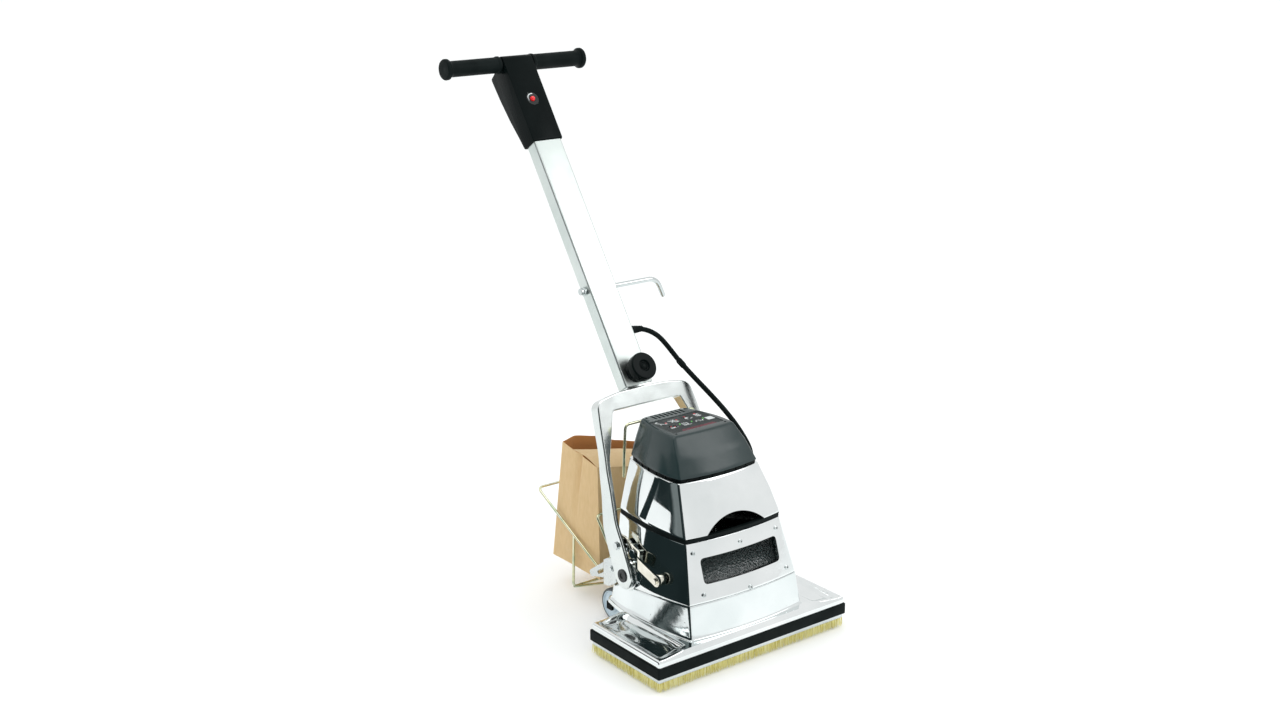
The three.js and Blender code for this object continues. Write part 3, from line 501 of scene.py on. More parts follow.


# Turns a drawn shape into a piece of the machine: smooth faces, sharp creases, its material, its body and the parts
# it stands for
def piece(name, bm, material, body, nodes=(), space=machineSpace, sharp=38, weighted=False):
    bm.transform(space)
    bm.normal_update()
    for face in bm.faces:
        face.smooth = True
    for edge in bm.edges:
        if len(edge.link_faces) == 2 and edge.calc_face_angle(0) > math.radians(sharp):
            edge.smooth = False
    words = name.split("_")
    obj = looseObject(words[0] + "".join(w.title() for w in words[1:]) + "Shape", bm)
    for entry in material if isinstance(material, (list, tuple)) else [material]:
        obj.data.materials.append(entry)
    if weighted:
        modifier = obj.modifiers.new("evenNormals", "WEIGHTED_NORMAL")
        modifier.keep_sharp = True
    if body:
        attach(obj, body)
    if nodes:
        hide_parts(*([nodes] if isinstance(nodes, str) else nodes))
    return obj


# Cord from the switch to the motor cover, in two lengths that meet beside the cap: each leaves its
# gland along X on an arc, and runs on as a smooth curve to the meeting point
cordSettings = {
    "radius": 5.0, "sides": 16, "bend": 46, "meeting": (102, 245, 461), "heading": (0.233, -0.739, -0.632)
}


def cordRun(start, away, turn, reach, side):
    aside = Vector((0, *away)).normalized()
    meeting, heading = Vector(cordSettings["meeting"]), Vector(cordSettings["heading"]).normalized()
    points = []
    for angle in range(0, turn + 1, 15):
        a = math.radians(angle)
        points.append(
            Vector(start) + Vector(
                (cordSettings["bend"] * math.sin(a), 0, 0)
            ) + aside * cordSettings["bend"] * (1 - math.cos(a))
        )
    last = math.radians(turn)
    arcEnd = points[-1]
    first = arcEnd + (Vector((math.cos(last), 0, 0)) + aside * math.sin(last)) * reach
    second = meeting + heading * side * reach
    steps = round((meeting - arcEnd).length / 13.5)
    for k in range(1, steps + 1):
        t = k / steps
        points.append(
            (1 - t) ** 3 * arcEnd + 3 * t * (1 - t) ** 2 * first + 3 * t**2 * (1 - t) * second + t**3 * meeting
        )
    return points


cordUpperRoute = cordRun((45.2, 318.5, 522), (-0.787, -0.617), 75, 20, -1)
cordLowerRoute = list(reversed(cordRun((122.3, 96, 262.2), (0.4, 0.9165), 105, 68, 1)))


def taperedBoot(start, towards, length, wide, narrow, rings=5):
    way = (Vector(towards) - Vector(start)).normalized()
    profile = [(0, -2.0), (wide, -2.0), (wide, 1.5)]
    for i in range(rings):
        low, high = i / rings, (i + 0.55) / rings
        profile += [
            (wide + (narrow - wide) * low - 0.7, 1.5 + (length - 1.5) * low),
            (wide + (narrow - wide) * low - 0.7, 1.5 + (length - 1.5) * (low + 0.18))
        ]
        profile += [
            (wide + (narrow - wide) * high, 1.5 + (length - 1.5) * (low + 0.22)),
            (wide + (narrow - wide) * high, 1.5 + (length - 1.5) * ((i + 0.95) / rings))
        ]
    profile += [(narrow, length), (0, length)]
    return moved(turned(profile, 32), way.to_track_quat("Z", "Y").to_matrix().to_4x4(), start)


def cordPiece(name, route):
    line = smoothLine(route, 5)
    path = [machineSpace @ p for p in line]
    obj = piece(
        name,
        tube(line, cordSettings["radius"], cordSettings["sides"], 0.1),
        blackRubber,
        None,
        name
    )
    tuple(path[0])
    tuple(path[-1])
    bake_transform(obj)
    length = sum((b - a).length for a, b in zip(path, path[1:]))
    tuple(path[0])
    return obj


tubeBoot = piece(
    "cord_boot_tube",
    taperedBoot((40, 318.5, 522), (57, 317.6, 521.3), 21, 7.8, 5.7),
    blackRubber,
    "handle",
)
coverBoot = piece(
    "cord_boot_cover",
    taperedBoot((113, 96, 262), (131, 96.2, 262.8), 18, 6.8, 5.5),
    blackRubber,
    "housing",
)
joint = turned([(0, -9), (5.5, -9), (6.1, -6.5), (6.1, 6.5), (5.5, 9), (0, 9)], 32, 0.5)
joint = moved(
    joint,
    Vector(cordSettings["heading"]).to_track_quat("Z", "Y").to_matrix().to_4x4(),
    cordSettings["meeting"]
)
cordJoint = piece("cord_joint", joint, blackRubber, "yoke_frame")
cordPiece("cord_upper", cordUpperRoute)
cordPiece("cord_lower", cordLowerRoute)
print("camera and cords made")

# World and floor: a pale sweep, brighter in front and to the right, with a dark side to the left
worldSettings = {"strength": 0.92, "darkAzimuth": 190.0, "darkEdge": (0.66, 0.82), "darkLevel": 0.03}
world = bpy.data.worlds.new("studio")
bpy.context.scene.world = world
world.use_nodes = True
tree = world.node_tree
background = tree.nodes["Background"]
direction = addNode(tree, "ShaderNodeTexCoord").outputs["Generated"]
azimuth = math.radians(worldSettings["darkAzimuth"])
towards = addNode(tree, "ShaderNodeVectorMath", {"operation": "DOT_PRODUCT"}, {0: direction})
towards.inputs[1].default_value = (math.cos(azimuth), math.sin(azimuth), 0)
low, high = worldSettings["darkEdge"]
darkness = ranged(tree, towards.outputs["Value"], 0, 1, low, high)
studio = addNode(tree, "ShaderNodeMix", {"data_type": "RGBA"}, {"Factor": darkness})
studio.inputs[6].default_value = (1.0, 1.0, 1.0, 1)
studio.inputs[7].default_value = (*[worldSettings["darkLevel"]] * 3, 1)
rays = addNode(tree, "ShaderNodeLightPath")
seen = addNode(tree, "ShaderNodeMix", {"data_type": "RGBA"}, {"Factor": rays.outputs["Is Glossy Ray"]})
seen.inputs[6].default_value = (1.08, 1.08, 1.08, 1)
tree.links.new(studio.outputs[2], seen.inputs[7])
tree.links.new(seen.outputs[2], background.inputs["Color"])
background.inputs["Strength"].default_value = worldSettings["strength"]

paleFloor = surface(
    "paleFloor", ((0.88, 0.90, 0.90), (0.90, 0.92, 0.92)), (0.7, 0.8), 0.0, [(3, 0.04, 0.002, even)],
    sockets={"Emission Strength": 0.13, "Emission Color": (1, 1, 1, 1), "Specular IOR Level": 0.1},
)
floorHalf = 40000
floorShape = bmesh.new()
floorShape.faces.new(
    [floorShape.verts.new((x, y, -0.5)) for x, y in rectangle(-floorHalf, -floorHalf, floorHalf, floorHalf)]
)
floorObject = looseObject("floor", floorShape)
floorObject.data.transform(machineSpace)
floorObject.data.materials.append(paleFloor)

# Dark cards beside the machine, seen only in its polished faces: they paint dark reflections onto the metal, with a
# pale streak painted across them as a reflected highlight
paintedReflectionMaterial = bpy.data.materials.new("paintedReflectionCard")
paintedReflectionMaterial.use_nodes = True
paintedReflectionTree = paintedReflectionMaterial.node_tree
paintedReflectionTree.nodes.remove(paintedReflectionTree.nodes["Principled BSDF"])
# dark ramp with one pale band: the painted reflection streak
paintedReflectionStreaks = ramped(
    paintedReflectionTree,
    noiseOf(paintedReflectionTree, 5, 3, (1, 1, 0.08)),
    [
        (0.30, (0.008, 0.014, 0.015)),
        (0.56, (0.016, 0.026, 0.027)),
        (0.66, (0.22, 0.25, 0.25)),
        (0.72, (0.03, 0.04, 0.04))
    ]
)
paintedReflectionGlow = addNode(paintedReflectionTree, "ShaderNodeEmission", inputs={"Color": paintedReflectionStreaks})
paintedReflectionTree.links.new(paintedReflectionGlow.outputs["Emission"], paintedReflectionTree.nodes["Material Output"].inputs["Surface"])


def paintedReflectionCard(name, line, low, high):
    flag = bmesh.new()
    rows = [[flag.verts.new((x, y, z)) for x, y in line] for z in (low, high)]
    for i in range(len(line) - 1):
        flag.faces.new((rows[0][i], rows[0][i + 1], rows[1][i + 1], rows[1][i]))
    obj = looseObject(name, flag)
    obj.data.transform(machineSpace)
    obj.data.materials.append(paintedReflectionMaterial)
    obj.visible_camera = obj.visible_diffuse = obj.visible_shadow = obj.visible_transmission = False


reflectionCardSettings = {"radius": 520, "from": 150, "to": 234, "low": 0, "high": 900}
angles = [
    math.radians(reflectionCardSettings["from"] + (reflectionCardSettings["to"] - reflectionCardSettings["from"]) * k / 24)
    for k in range(25)
]
reach = reflectionCardSettings["radius"]
paintedReflectionCard(
    "sideReflectionCard",
    [(reach * math.cos(a), reach * math.sin(a)) for a in angles],
    reflectionCardSettings["low"],
    reflectionCardSettings["high"]
)
angles = [math.radians(133 + 17 * k / 8) for k in range(9)]
paintedReflectionCard("upperReflectionCard", [(reach * math.cos(a), reach * math.sin(a)) for a in angles], 250, 420)
# two cards close against the mid casing and upper cover, there only to paint dark reflections on their sides
paintedReflectionCard("nearReflectionCard", [(-145, -70), (-145, 98)], 118, 234)
paintedReflectionCard("bandReflectionCard", [(-127, 84), (-127, 108)], 243, 326)

lightSettings = [
    ("keyLight", (1700, -1500, 2300), (0, 0, 300), 1400, 14),
    ("topLight", (-300, 700, 2600), (0, 200, 300), 1800, 10),
]
for name, place, target, size, power in lightSettings:
    lamp = bpy.data.lights.new(name, "AREA")
    lamp.size = size / 1000
    lamp.energy = power
    lampObject = bpy.data.objects.new(name, lamp)
    bpy.context.scene.collection.objects.link(lampObject)
    lampObject.location = machineSpace @ Vector(place)
    lampObject.rotation_euler = (Vector(target) - Vector(place)).to_track_quat("-Z", "Y").to_euler()
bpy.context.scene.view_settings.view_transform = "Standard"
print("studio made")

# The body's outline at each height: front corner, front bulge, widest place of the side, rear corner, back bulge
bodyRows = [
    (60, (133, -78.5), 12, (151, 60), (140, 160), 7), (67, (132, -77), 12, (149, 60), (138, 160), 7),
    (110, (129, -68), 13, (136, 60), (126, 163), 6), (127, (128, -65), 14, (134, 60), (124, 164), 6),
    (180, (120, -49.5), 13, (127, 60), (118, 166), 5), (231, (112.4, -34.5), 11, (121, 55), (112, 167), 4),
    (240, (113.7, -34.5), 12, (120, 50), (111, 168), 4), (285, (105.5, -15), 12, (110, 55), (97, 172), 3),
    (329, (94.7, 8), 11, (99, 63), (81, 177), 2),
]
capRows = [
    (335, (92, 8), 11, (97, 63), (80, 175), 2), (370, (82, 29), 9, (85, 76), (68, 175), 2),
    (397, (72, 50), 5, (73, 92), (58, 174), 1), (401, (70, 52), 4, (71, 92), (57, 173), 1),
]


def rowAt(rows, z):
    flat = [(r[0], *r[1], r[2], *r[3], *r[4], r[5]) for r in rows]
    z = min(max(z, flat[0][0]), flat[-1][0])
    upper = next(i for i in range(1, len(flat)) if flat[i][0] >= z)
    a, b = flat[upper - 1], flat[upper]
    t = (z - a[0]) / (b[0] - a[0])
    return [p + (q - p) * t for p, q in zip(a, b)]


outlineSteps = {"front": 14, "corner": 7, "side": 18, "rear": 8, "back": 6}


def curveThrough(a, b, c, steps):
    return [
        Vector(a) * (1 - t) ** 2 + Vector(b) * 2 * t * (1 - t) + Vector(c) * t * t
        for t in (k / steps for k in range(1, steps + 1))
    ]


def bodyLoop(rows, z, inset=0.0, corner=5.0, zOf=None):
    _, fx, fy, bulge, sx, sy, rx, ry, back = rowAt(rows, z)
    fx, fy, sx, rx, ry = fx - inset, fy + inset, sx - inset, rx - inset, ry - inset
    frontAt = lambda x: fy - bulge * (1 - (x / fx) ** 2)
    steps = outlineSteps["front"]
    half = [Vector((x, frontAt(x))) for x in ((fx - corner) * k / steps for k in range(steps + 1))]
    rise = (sx - fx) / (sy - fy)
    cornerEnd = (fx + corner * rise, fy + corner)
    half += curveThrough(half[-1], (fx, fy), cornerEnd, outlineSteps["corner"])
    rearRound = 16
    rearStart = (rx + 1, ry - rearRound)
    half += curveThrough(
        cornerEnd, (2 * sx - (cornerEnd[0] + rearStart[0]) / 2, sy), rearStart, outlineSteps["side"]
    )
    half += curveThrough(rearStart, (rx, ry), (rx - rearRound, ry + back * 0.4), outlineSteps["rear"])
    half += curveThrough(
        (rx - rearRound, ry + back * 0.4),
        ((rx - rearRound) / 2, ry + back),
        (0, ry + back),
        outlineSteps["back"]
    )
    loop = half + [Vector((-p.x, p.y)) for p in reversed(half[1:-1])]
    return [Vector((p.x, p.y, z)) for p in loop]


seamSlope = -0.111


def seamLoop(rows, lift, inset=0.0):
    loop = bodyLoop(rows, 118, inset)
    result = []
    for i, p in enumerate(loop):
        z = 118
        for _ in range(3):
            q = bodyLoop(rows, z, inset)[i]
            z = 127 + seamSlope * (q.y + 65) + lift
        result.append(Vector((q.x, q.y, z)))
    return result


def blendLoops(low, high, t):
    return [a.lerp(b, t) for a, b in zip(low, high)]


# Brushes: strands grown in nodes along each strip, hanging from the holder
brushSettings = {"height": 0.0186, "depth": 0.0105, "spacing": 0.00105, "radius": 0.00045, "lean": 0.16}


def growthTree(name, inputs):
    tree = bpy.data.node_groups.new(name, "GeometryNodeTree")
    tree.interface.new_socket("Geometry", in_out="INPUT", socket_type="NodeSocketGeometry")
    for label, kind, value in inputs:
        tree.interface.new_socket(label, in_out="INPUT", socket_type=kind).default_value = value
    tree.interface.new_socket("Geometry", in_out="OUTPUT", socket_type="NodeSocketGeometry")
    return tree, tree.nodes.new("NodeGroupInput").outputs, tree.nodes.new("NodeGroupOutput").inputs


def grown(name, tree, values, base=None):
    obj = looseObject(name, base or bmesh.new())
    modifier = obj.modifiers.new("growth", "NODES")
    modifier.node_group = tree
    for item in tree.interface.items_tree:
        if item.in_out == "INPUT" and item.name in values:
            modifier[item.identifier] = values[item.name]
    mesh = evaluatedMesh(obj)
    bpy.data.objects.remove(obj)
    result = bmesh.new()
    result.from_mesh(mesh)
    return result


tree, given, output = growthTree("bristleStrip", [
    ("Length", "NodeSocketFloat", 0.4), ("Depth", "NodeSocketFloat", 0.01), (
        "Height", "NodeSocketFloat", 0.019
    ),
    (
        "Spacing", "NodeSocketFloat", 0.0012
    ), ("Radius", "NodeSocketFloat", 0.0005), ("Lean", "NodeSocketFloat", 0.15), ("Seed", "NodeSocketInt", 1),
])


def calc(tree, operation, a, b=0.0, c=0.0):
    node = tree.nodes.new("ShaderNodeMath")
    node.operation = operation
    for i, value in enumerate((a, b, c)):
        if isinstance(value, bpy.types.NodeSocket):
            tree.links.new(value, node.inputs[i])
        else:
            node.inputs[i].default_value = value
    return node.outputs[0]


def randomFloat(tree, low, high, seed):
    node = tree.nodes.new("FunctionNodeRandomValue")
    node.data_type = "FLOAT"
    for i, value in ((2, low), (3, high), (8, seed)):
        if isinstance(value, bpy.types.NodeSocket):
            tree.links.new(value, node.inputs[i])
        else:
            node.inputs[i].default_value = value
    return node.outputs[1]


def vectorOf(tree, x=0.0, y=0.0, z=0.0):
    return addNode(tree, "ShaderNodeCombineXYZ", inputs={"X": x, "Y": y, "Z": z}).outputs[0]


grid = addNode(tree, "GeometryNodeMeshGrid", inputs={
    "Size X": given["Length"], "Size Y": given["Depth"],
    "Vertices X": calc(tree, "DIVIDE", given["Length"], given["Spacing"]),
    "Vertices Y": calc(tree, "DIVIDE", given["Depth"], calc(tree, "MULTIPLY", given["Spacing"], 1.5)),
})
jitter = calc(tree, "MULTIPLY", given["Spacing"], 0.55)
back = calc(tree, "MULTIPLY", jitter, -1.0)
shifted = addNode(tree, "GeometryNodeSetPosition", inputs={
    "Geometry": grid.outputs["Mesh"],
    "Offset": vectorOf(
        tree,
        randomFloat(tree, back, jitter, given["Seed"]),
        randomFloat(tree, back, jitter, calc(tree, "ADD", given["Seed"], 7.0))
    ),
})
strandShape = addNode(tree, "GeometryNodeMeshCone", inputs={
    "Vertices": 4, "Radius Top": calc(
        tree, "MULTIPLY", given["Radius"], 0.45
    ), "Radius Bottom": given["Radius"], "Depth": given["Height"],
})
clump = addNode(tree, "ShaderNodeTexNoise", inputs={"Scale": 150.0, "Detail": 1.0})
clumpLean = ranged(tree, clump.outputs["Fac"], -1.0, 1.0)
spread = calc(tree, "MULTIPLY", given["Lean"], calc(tree, "MULTIPLY", clumpLean, 0.8))
loose = calc(
    tree, "MULTIPLY", given["Lean"], randomFloat(tree, -0.6, 0.6, calc(tree, "ADD", given["Seed"], 3.0))
)
turnX = calc(
    tree,
    "ADD",
    math.pi,
    calc(tree, "MULTIPLY", given["Lean"], randomFloat(tree, -0.5, 0.5, calc(tree, "ADD", given["Seed"], 5.0)))
)
placed = addNode(tree, "GeometryNodeInstanceOnPoints", inputs={
    "Points": shifted.outputs["Geometry"], "Instance": strandShape.outputs["Mesh"],
    "Rotation": vectorOf(tree, turnX, calc(tree, "ADD", spread, loose), 0.0),
    "Scale": vectorOf(tree, 1.0, 1.0, randomFloat(tree, 0.84, 0.985, calc(tree, "ADD", given["Seed"], 9.0))),
})
shadeOf = addNode(tree, "GeometryNodeStoreNamedAttribute", {"data_type": "FLOAT", "domain": "INSTANCE"}, {
    "Geometry": placed.outputs["Instances"], "Name": "strand",
})
tree.links.new(randomFloat(tree, 0.0, 1.0, calc(tree, "ADD", given["Seed"], 11.0)), shadeOf.inputs["Value"])
real = addNode(tree, "GeometryNodeRealizeInstances", inputs={"Geometry": shadeOf.outputs["Geometry"]})
painted = addNode(
    tree, "GeometryNodeSetMaterial", inputs={"Geometry": real.outputs["Geometry"], "Material": bristleFibre}
)
tree.links.new(painted.outputs["Geometry"], output["Geometry"])
bristleTree = tree

for seed, (name, length, place, turn) in enumerate([
    ("brush_front", 0.441, (0, -93.2, 19), 0), ("brush_rear", 0.441, (0, 93.2, 19), 0),
    ("brush_left", 0.172, (-215.6, 0, 19), 90), ("brush_right", 0.172, (215.6, 0, 19), 90),
]):
    strands = grown(name, bristleTree, {
        "Length": length, "Depth": brushSettings["depth"], "Height": brushSettings["height"],
        "Spacing": brushSettings["spacing"], "Radius": brushSettings["radius"], "Lean": brushSettings["lean"], "Seed": seed * 20 + 1,
    })
    strands.transform(
        Matrix.Translation(Vector(place)) @ Matrix.Rotation(
            math.radians(turn), 4, "Z"
        ) @ Matrix.Scale(1000, 4)
    )
    for vertex in strands.verts:
        vertex.co.z = max(vertex.co.z, 0.15)
        vertex.co.x = min(max(vertex.co.x, -224.5), 224.5)
        vertex.co.y = min(max(vertex.co.y, -102.2), 102.2)
    piece(name, strands, bristleFibre, "housing", name, sharp=60)
print("brushes grown")


# A profile of (inset, height) carried round a rounded rectangle
def frameSweep(halfX, halfY, radius, profile):
    rings = []
    for inset, z in profile:
        outline = rectangle(
            -halfX + inset, -halfY + inset, halfX - inset, halfY - inset, max(radius - inset, 0.6), 8
        )
        rings.append([Vector((x, y, z)) for x, y in outline])
    return ringLoft(rings, wrap=True)


bumperProfile = roundedOutline([(0, 27.4), (0, 47.9), (6, 47.9), (6, 27.4)], 1.6, 4)
piece(
    "edge_bumper",
    frameSweep(225, 102.6, 4, bumperProfile),
    blackRubber,
    "housing",
    "edge_bumper"
)
holderProfile = roundedOutline([(0, 19.4), (0, 26.9), (14, 26.9), (14, 19.4)], 0.8, 3)
piece(
    "brush_holder",
    frameSweep(221.5, 99.1, 3, holderProfile),
    sheetSteel,
    "housing",
    "brush_holder"
)

# Flange of the base casting: a rim over the bumper, hollows at both sides and a rise to the walls
flangeSettings = {"halfX": 222, "halfY": 99.6, "rim": 60.6, "hollow": 4.6, "crease": 4.0}


def smoothStep(low, high, value):
    t = min(max((value - low) / (high - low), 0), 1)
    return t * t * (3 - 2 * t)


def flangeHeight(x, y):
    u = abs(x)
    sideFall = 66.2 - 4.6 * smoothStep(150, 214, u)
    frontFall = flangeSettings["rim"] + (97.6 - abs(y)) * 2.2
    top = min(sideFall, frontFall)
    rimIn = min(222 - u, 99.6 - abs(y))
    hollow = smoothStep(150, 163, u) * (1 - smoothStep(204, 216, u)) * smoothStep(8, 24, 99.6 - abs(y))
    diagonal = abs((u - 152) / 62 - (y + 92) / 184)
    top -= hollow * (flangeSettings["hollow"] + flangeSettings["crease"] * diagonal)
    if rimIn < 2.4:
        top = min(top, flangeSettings["rim"]) - 2.0 * (1 - math.sqrt(max(0.0, 1 - (1 - rimIn / 2.4) ** 2)))
    return top


opening = {"halfX": 118, "halfY": 79.3, "centreY": 15.2}
levels = [
    0, 0.006, 0.012, 0.02, 0.035, 0.05, 0.07, 0.09
] + [0.09 + 0.045 * k for k in range(1, 18)] + [0.93, 1.0]


def flangeRing(t, height=None):
    halfX = flangeSettings["halfX"] + (opening["halfX"] - flangeSettings["halfX"]) * t
    halfY = flangeSettings["halfY"] + (opening["halfY"] - flangeSettings["halfY"]) * t
    shift = opening["centreY"] * smoothStep(0.25, 1.0, t)
    corners = roundedOutline([(-halfX, -halfY), (halfX, -halfY), (halfX, halfY), (-halfX, halfY)], 4, 6)
    count = len(corners) // 4
    ring = []
    for side in range(4):
        arc = corners[side * count:(side + 1) * count]
        after = corners[((side + 1) * count) % len(corners)]
        ring += arc
        steps = 46 if side in (0, 2) else 34
        ring += [tuple(Vector(arc[-1]).lerp(Vector(after), k / steps)) for k in range(1, steps)]
    return [Vector((x, y + shift, flangeHeight(x, y + shift) if height is None else height)) for x, y in ring]


flangeRings = [flangeRing(0, 48.6), flangeRing(0, 53.5)] + [flangeRing(t) for t in levels]
flangeRings += [
    flangeRing(1.0, 30),
    flangeRing(0.85, 30),
    flangeRing(0.10, 30),
    flangeRing(0.075, 30),
    flangeRing(0.075, 48.6)
]
piece(
    "base_flange",
    ringLoft(flangeRings, wrap=True),
    polishedAlloy,
    "housing",
    "base_casting",
    sharp=50
)

# Walls of the base casting, from a small root fillet on the flange to the slanted seam
wallRings = [bodyLoop(bodyRows, 60.2, -3.4)]
for k in range(6):
    angle = math.pi / 2 * k / 5
    rootZ = 66.0 + 5 * (1 - math.cos(angle))
    wallRings.append(
        [Vector((p.x, p.y, rootZ)) for p in bodyLoop(bodyRows, rootZ, -3.4 * (1 - math.sin(angle)))]
    )
lowLoop = bodyLoop(bodyRows, 72)
seamTop = seamLoop(bodyRows, -0.15)
for t in (0.12, 0.3, 0.5, 0.7, 0.85, 0.93):
    wallRings.append(blendLoops(lowLoop, seamTop, t))
wallRings += [
    seamLoop(bodyRows, -1.1),
    seamLoop(bodyRows, -0.45, 0.25),
    seamLoop(bodyRows, -0.2, 0.9),
    seamLoop(bodyRows, -0.2, 5.5)
]
wallRings += [bodyLoop(bodyRows, 72, 6), bodyLoop(bodyRows, 67, 6)]
walls = ringLoft(wallRings)
walls = carve(walls, slab(rectangle(-117, -64, 117, 94.5), 40, 70, "top"))
piece("base_walls", walls, castAlloy, "housing", "base_casting", sharp=40)
lugOutline = roundedOutline(
    [(92, 49.3), (104, 49.3), (150, 24), (189, 20), (201, 32), (193, 44), (158, 66), (92, 62)], 9, 5
)
lugs = []
for x in (-80, 80):
    lug = carve(slab(lugOutline, x - 4, x + 4, "side"), rod(6.4, x - 10, x + 10, (189, 32), 32, 0))
    lugs.append(eased(lug, 0.9))
piece("axle_lugs", together(*lugs), castAlloy, "housing", "base_casting", weighted=True)
print("base made")

# Middle casting: its seam edge, window, bosses and the small stop for the pedal
midSettings = {"wall": 6, "boss": 30, "bossOuter": 138.4}
window = (-90, 158, 90, 203)
seamLow = seamLoop(bodyRows, 0.15, 5.5)
outer = [seamLoop(bodyRows, 0.2, 0.9), seamLoop(bodyRows, 0.45, 0.25), seamLoop(bodyRows, 1.1)]
shoulder = bodyLoop(bodyRows, 142)
outer += [blendLoops(seamLoop(bodyRows, 1.1), shoulder, t) for t in (0.2, 0.5, 0.8)] + [shoulder]
outer += [bodyLoop(bodyRows, z) for z in (148, 154, 160, 168, 176, 184, 192, 200, 208, 216, 223, 228, 230)]
outer += [bodyLoop(bodyRows, 230.7, 0.3), bodyLoop(bodyRows, 231, 1.0)]
inner = [bodyLoop(bodyRows, z, midSettings["wall"]) for z in (231, 200, 170, 142)] + [seamLow]
casing = ringLoft(outer + inner, wrap=True)
casing = carve(casing, slab(rectangle(*window, 9, 8), -110, 0, "front"))
piece("mid_casing", casing, polishedAlloy, "housing", "mid_casing", sharp=30)
for name, side in (("pivot_boss_left", -1), ("pivot_boss_right", 1)):
    ends = sorted((side * 124, side * midSettings["bossOuter"]))
    piece(
        name,
        rod(midSettings["boss"], *ends, (105, 132), 72, 1.4),
        polishedAlloy,
        "housing",
        name
    )
stop = eased(slab(rectangle(104.5, 176, 111.8, 190, 1.2, 4), -136.5, -122, "side"), 0.7)
piece("pedal_stop", stop, chromeSteel, "housing", weighted=True)


def frontAt(x, z):
    row = rowAt(bodyRows, z)
    return row[2] - row[3] * (1 - (x / row[1]) ** 2)


paneRings = []
for z in (152, 152.5, 160, 168, 176, 184, 192, 200, 208.5, 209):
    across = [-97 + 194 * k / 30 for k in range(31)]
    paneRings.append(
        [Vector((x, frontAt(x, z) + 6.35, z)) for x in across] + [
            Vector((x, frontAt(x, z) + 8.6, z)) for x in reversed(across)
        ]
    )
piece("window_pane", ringLoft(paneRings), clearPane, "housing", "window_pane")

# Screws round the window: one dome-headed screw in nodes, set at marked points square to the face
screwSettings = {
    "places": [(-101, 214), (2, 214), (95, 214), (-95, 141), (6, 133), (104, 141)],
    "head": 0.0043,
    "height": 0.0019
}


def marks(points):
    bm = bmesh.new()
    layer = bm.verts.layers.float_vector.new("aim")
    for place, aim in points:
        bm.verts.new(place)[layer] = aim
    return bm


def fittedOnMarks(tree, given, output, shape, material):
    aim = addNode(tree, "GeometryNodeInputNamedAttribute", {"data_type": "FLOAT_VECTOR"}, {"Name": "aim"})
    turn = addNode(tree, "FunctionNodeAlignRotationToVector", {"axis": "Z"}, {"Vector": aim.outputs[0]})
    placed = addNode(tree, "GeometryNodeInstanceOnPoints", inputs={
        "Points": given["Geometry"], "Instance": shape, "Rotation": turn.outputs[0],
    })
    real = addNode(tree, "GeometryNodeRealizeInstances", inputs={"Geometry": placed.outputs[0]})
    painted = addNode(
        tree, "GeometryNodeSetMaterial", inputs={"Geometry": real.outputs[0], "Material": material}
    )
    tree.links.new(painted.outputs[0], output["Geometry"])


def lifted(tree, geometry, height):
    return addNode(
        tree,
        "GeometryNodeTransform",
        inputs={"Geometry": geometry, "Translation": vectorOf(tree, 0.0, 0.0, height)}
    ).outputs[0]


tree, given, output = growthTree(
    "domeScrew", [("Radius", "NodeSocketFloat", 0.0043), ("Height", "NodeSocketFloat", 0.0019)]
)
rim = addNode(
    tree,
    "GeometryNodeMeshCylinder",
    inputs={"Vertices": 28, "Radius": given["Radius"], "Depth": given["Height"]}
)
crown = addNode(tree, "GeometryNodeMeshCone", inputs={
    "Vertices": 28, "Radius Bottom": calc(tree, "MULTIPLY", given["Radius"], 0.98),
    "Radius Top": calc(
        tree, "MULTIPLY", given["Radius"], 0.62
    ), "Depth": calc(tree, "MULTIPLY", given["Height"], 0.55),
})
pit = addNode(
    tree,
    "GeometryNodeMeshCylinder",
    inputs={"Vertices": 6, "Radius": calc(tree, "MULTIPLY", given["Radius"], 0.4), "Depth": given["Height"]}
)
joined = tree.nodes.new("GeometryNodeJoinGeometry")
tree.links.new(rim.outputs["Mesh"], joined.inputs[0])
tree.links.new(
    lifted(tree, crown.outputs["Mesh"], calc(tree, "MULTIPLY", given["Height"], 0.49)), joined.inputs[0]
)
drilled = addNode(tree, "GeometryNodeMeshBoolean", {"operation": "DIFFERENCE"}, {"Mesh 1": joined.outputs[0]})
tree.links.new(
    lifted(tree, pit.outputs["Mesh"], calc(tree, "MULTIPLY", given["Height"], 1.0)), drilled.inputs["Mesh 2"]
)
fittedOnMarks(tree, given, output, drilled.outputs["Mesh"], chromeSteel)
screwTree = tree


def faceAim(x, z):
    step = 3
    rise = (frontAt(x, z + step) - frontAt(x, z - step)) / (2 * step)
    turn = (frontAt(x + step, z) - frontAt(x - step, z)) / (2 * step)
    return Vector((turn, -1, rise)).normalized()


heads = []
for x, z in screwSettings["places"]:
    aim = faceAim(x, z)
    heads.append((Vector((x, frontAt(x, z), z)) / 1000 + aim * screwSettings["height"] * 0.4, aim))
heads = grown(
    "window_screws",
    screwTree,
    {"Radius": screwSettings["head"], "Height": screwSettings["height"]},
    marks(heads)
)
heads.transform(Matrix.Scale(1000, 4))
piece(
    "window_screws",
    heads,
    chromeSteel,
    "housing",
    [f"window_screw_{i + 1}" for i in range(6)],
    sharp=25
)
print("middle casing made")

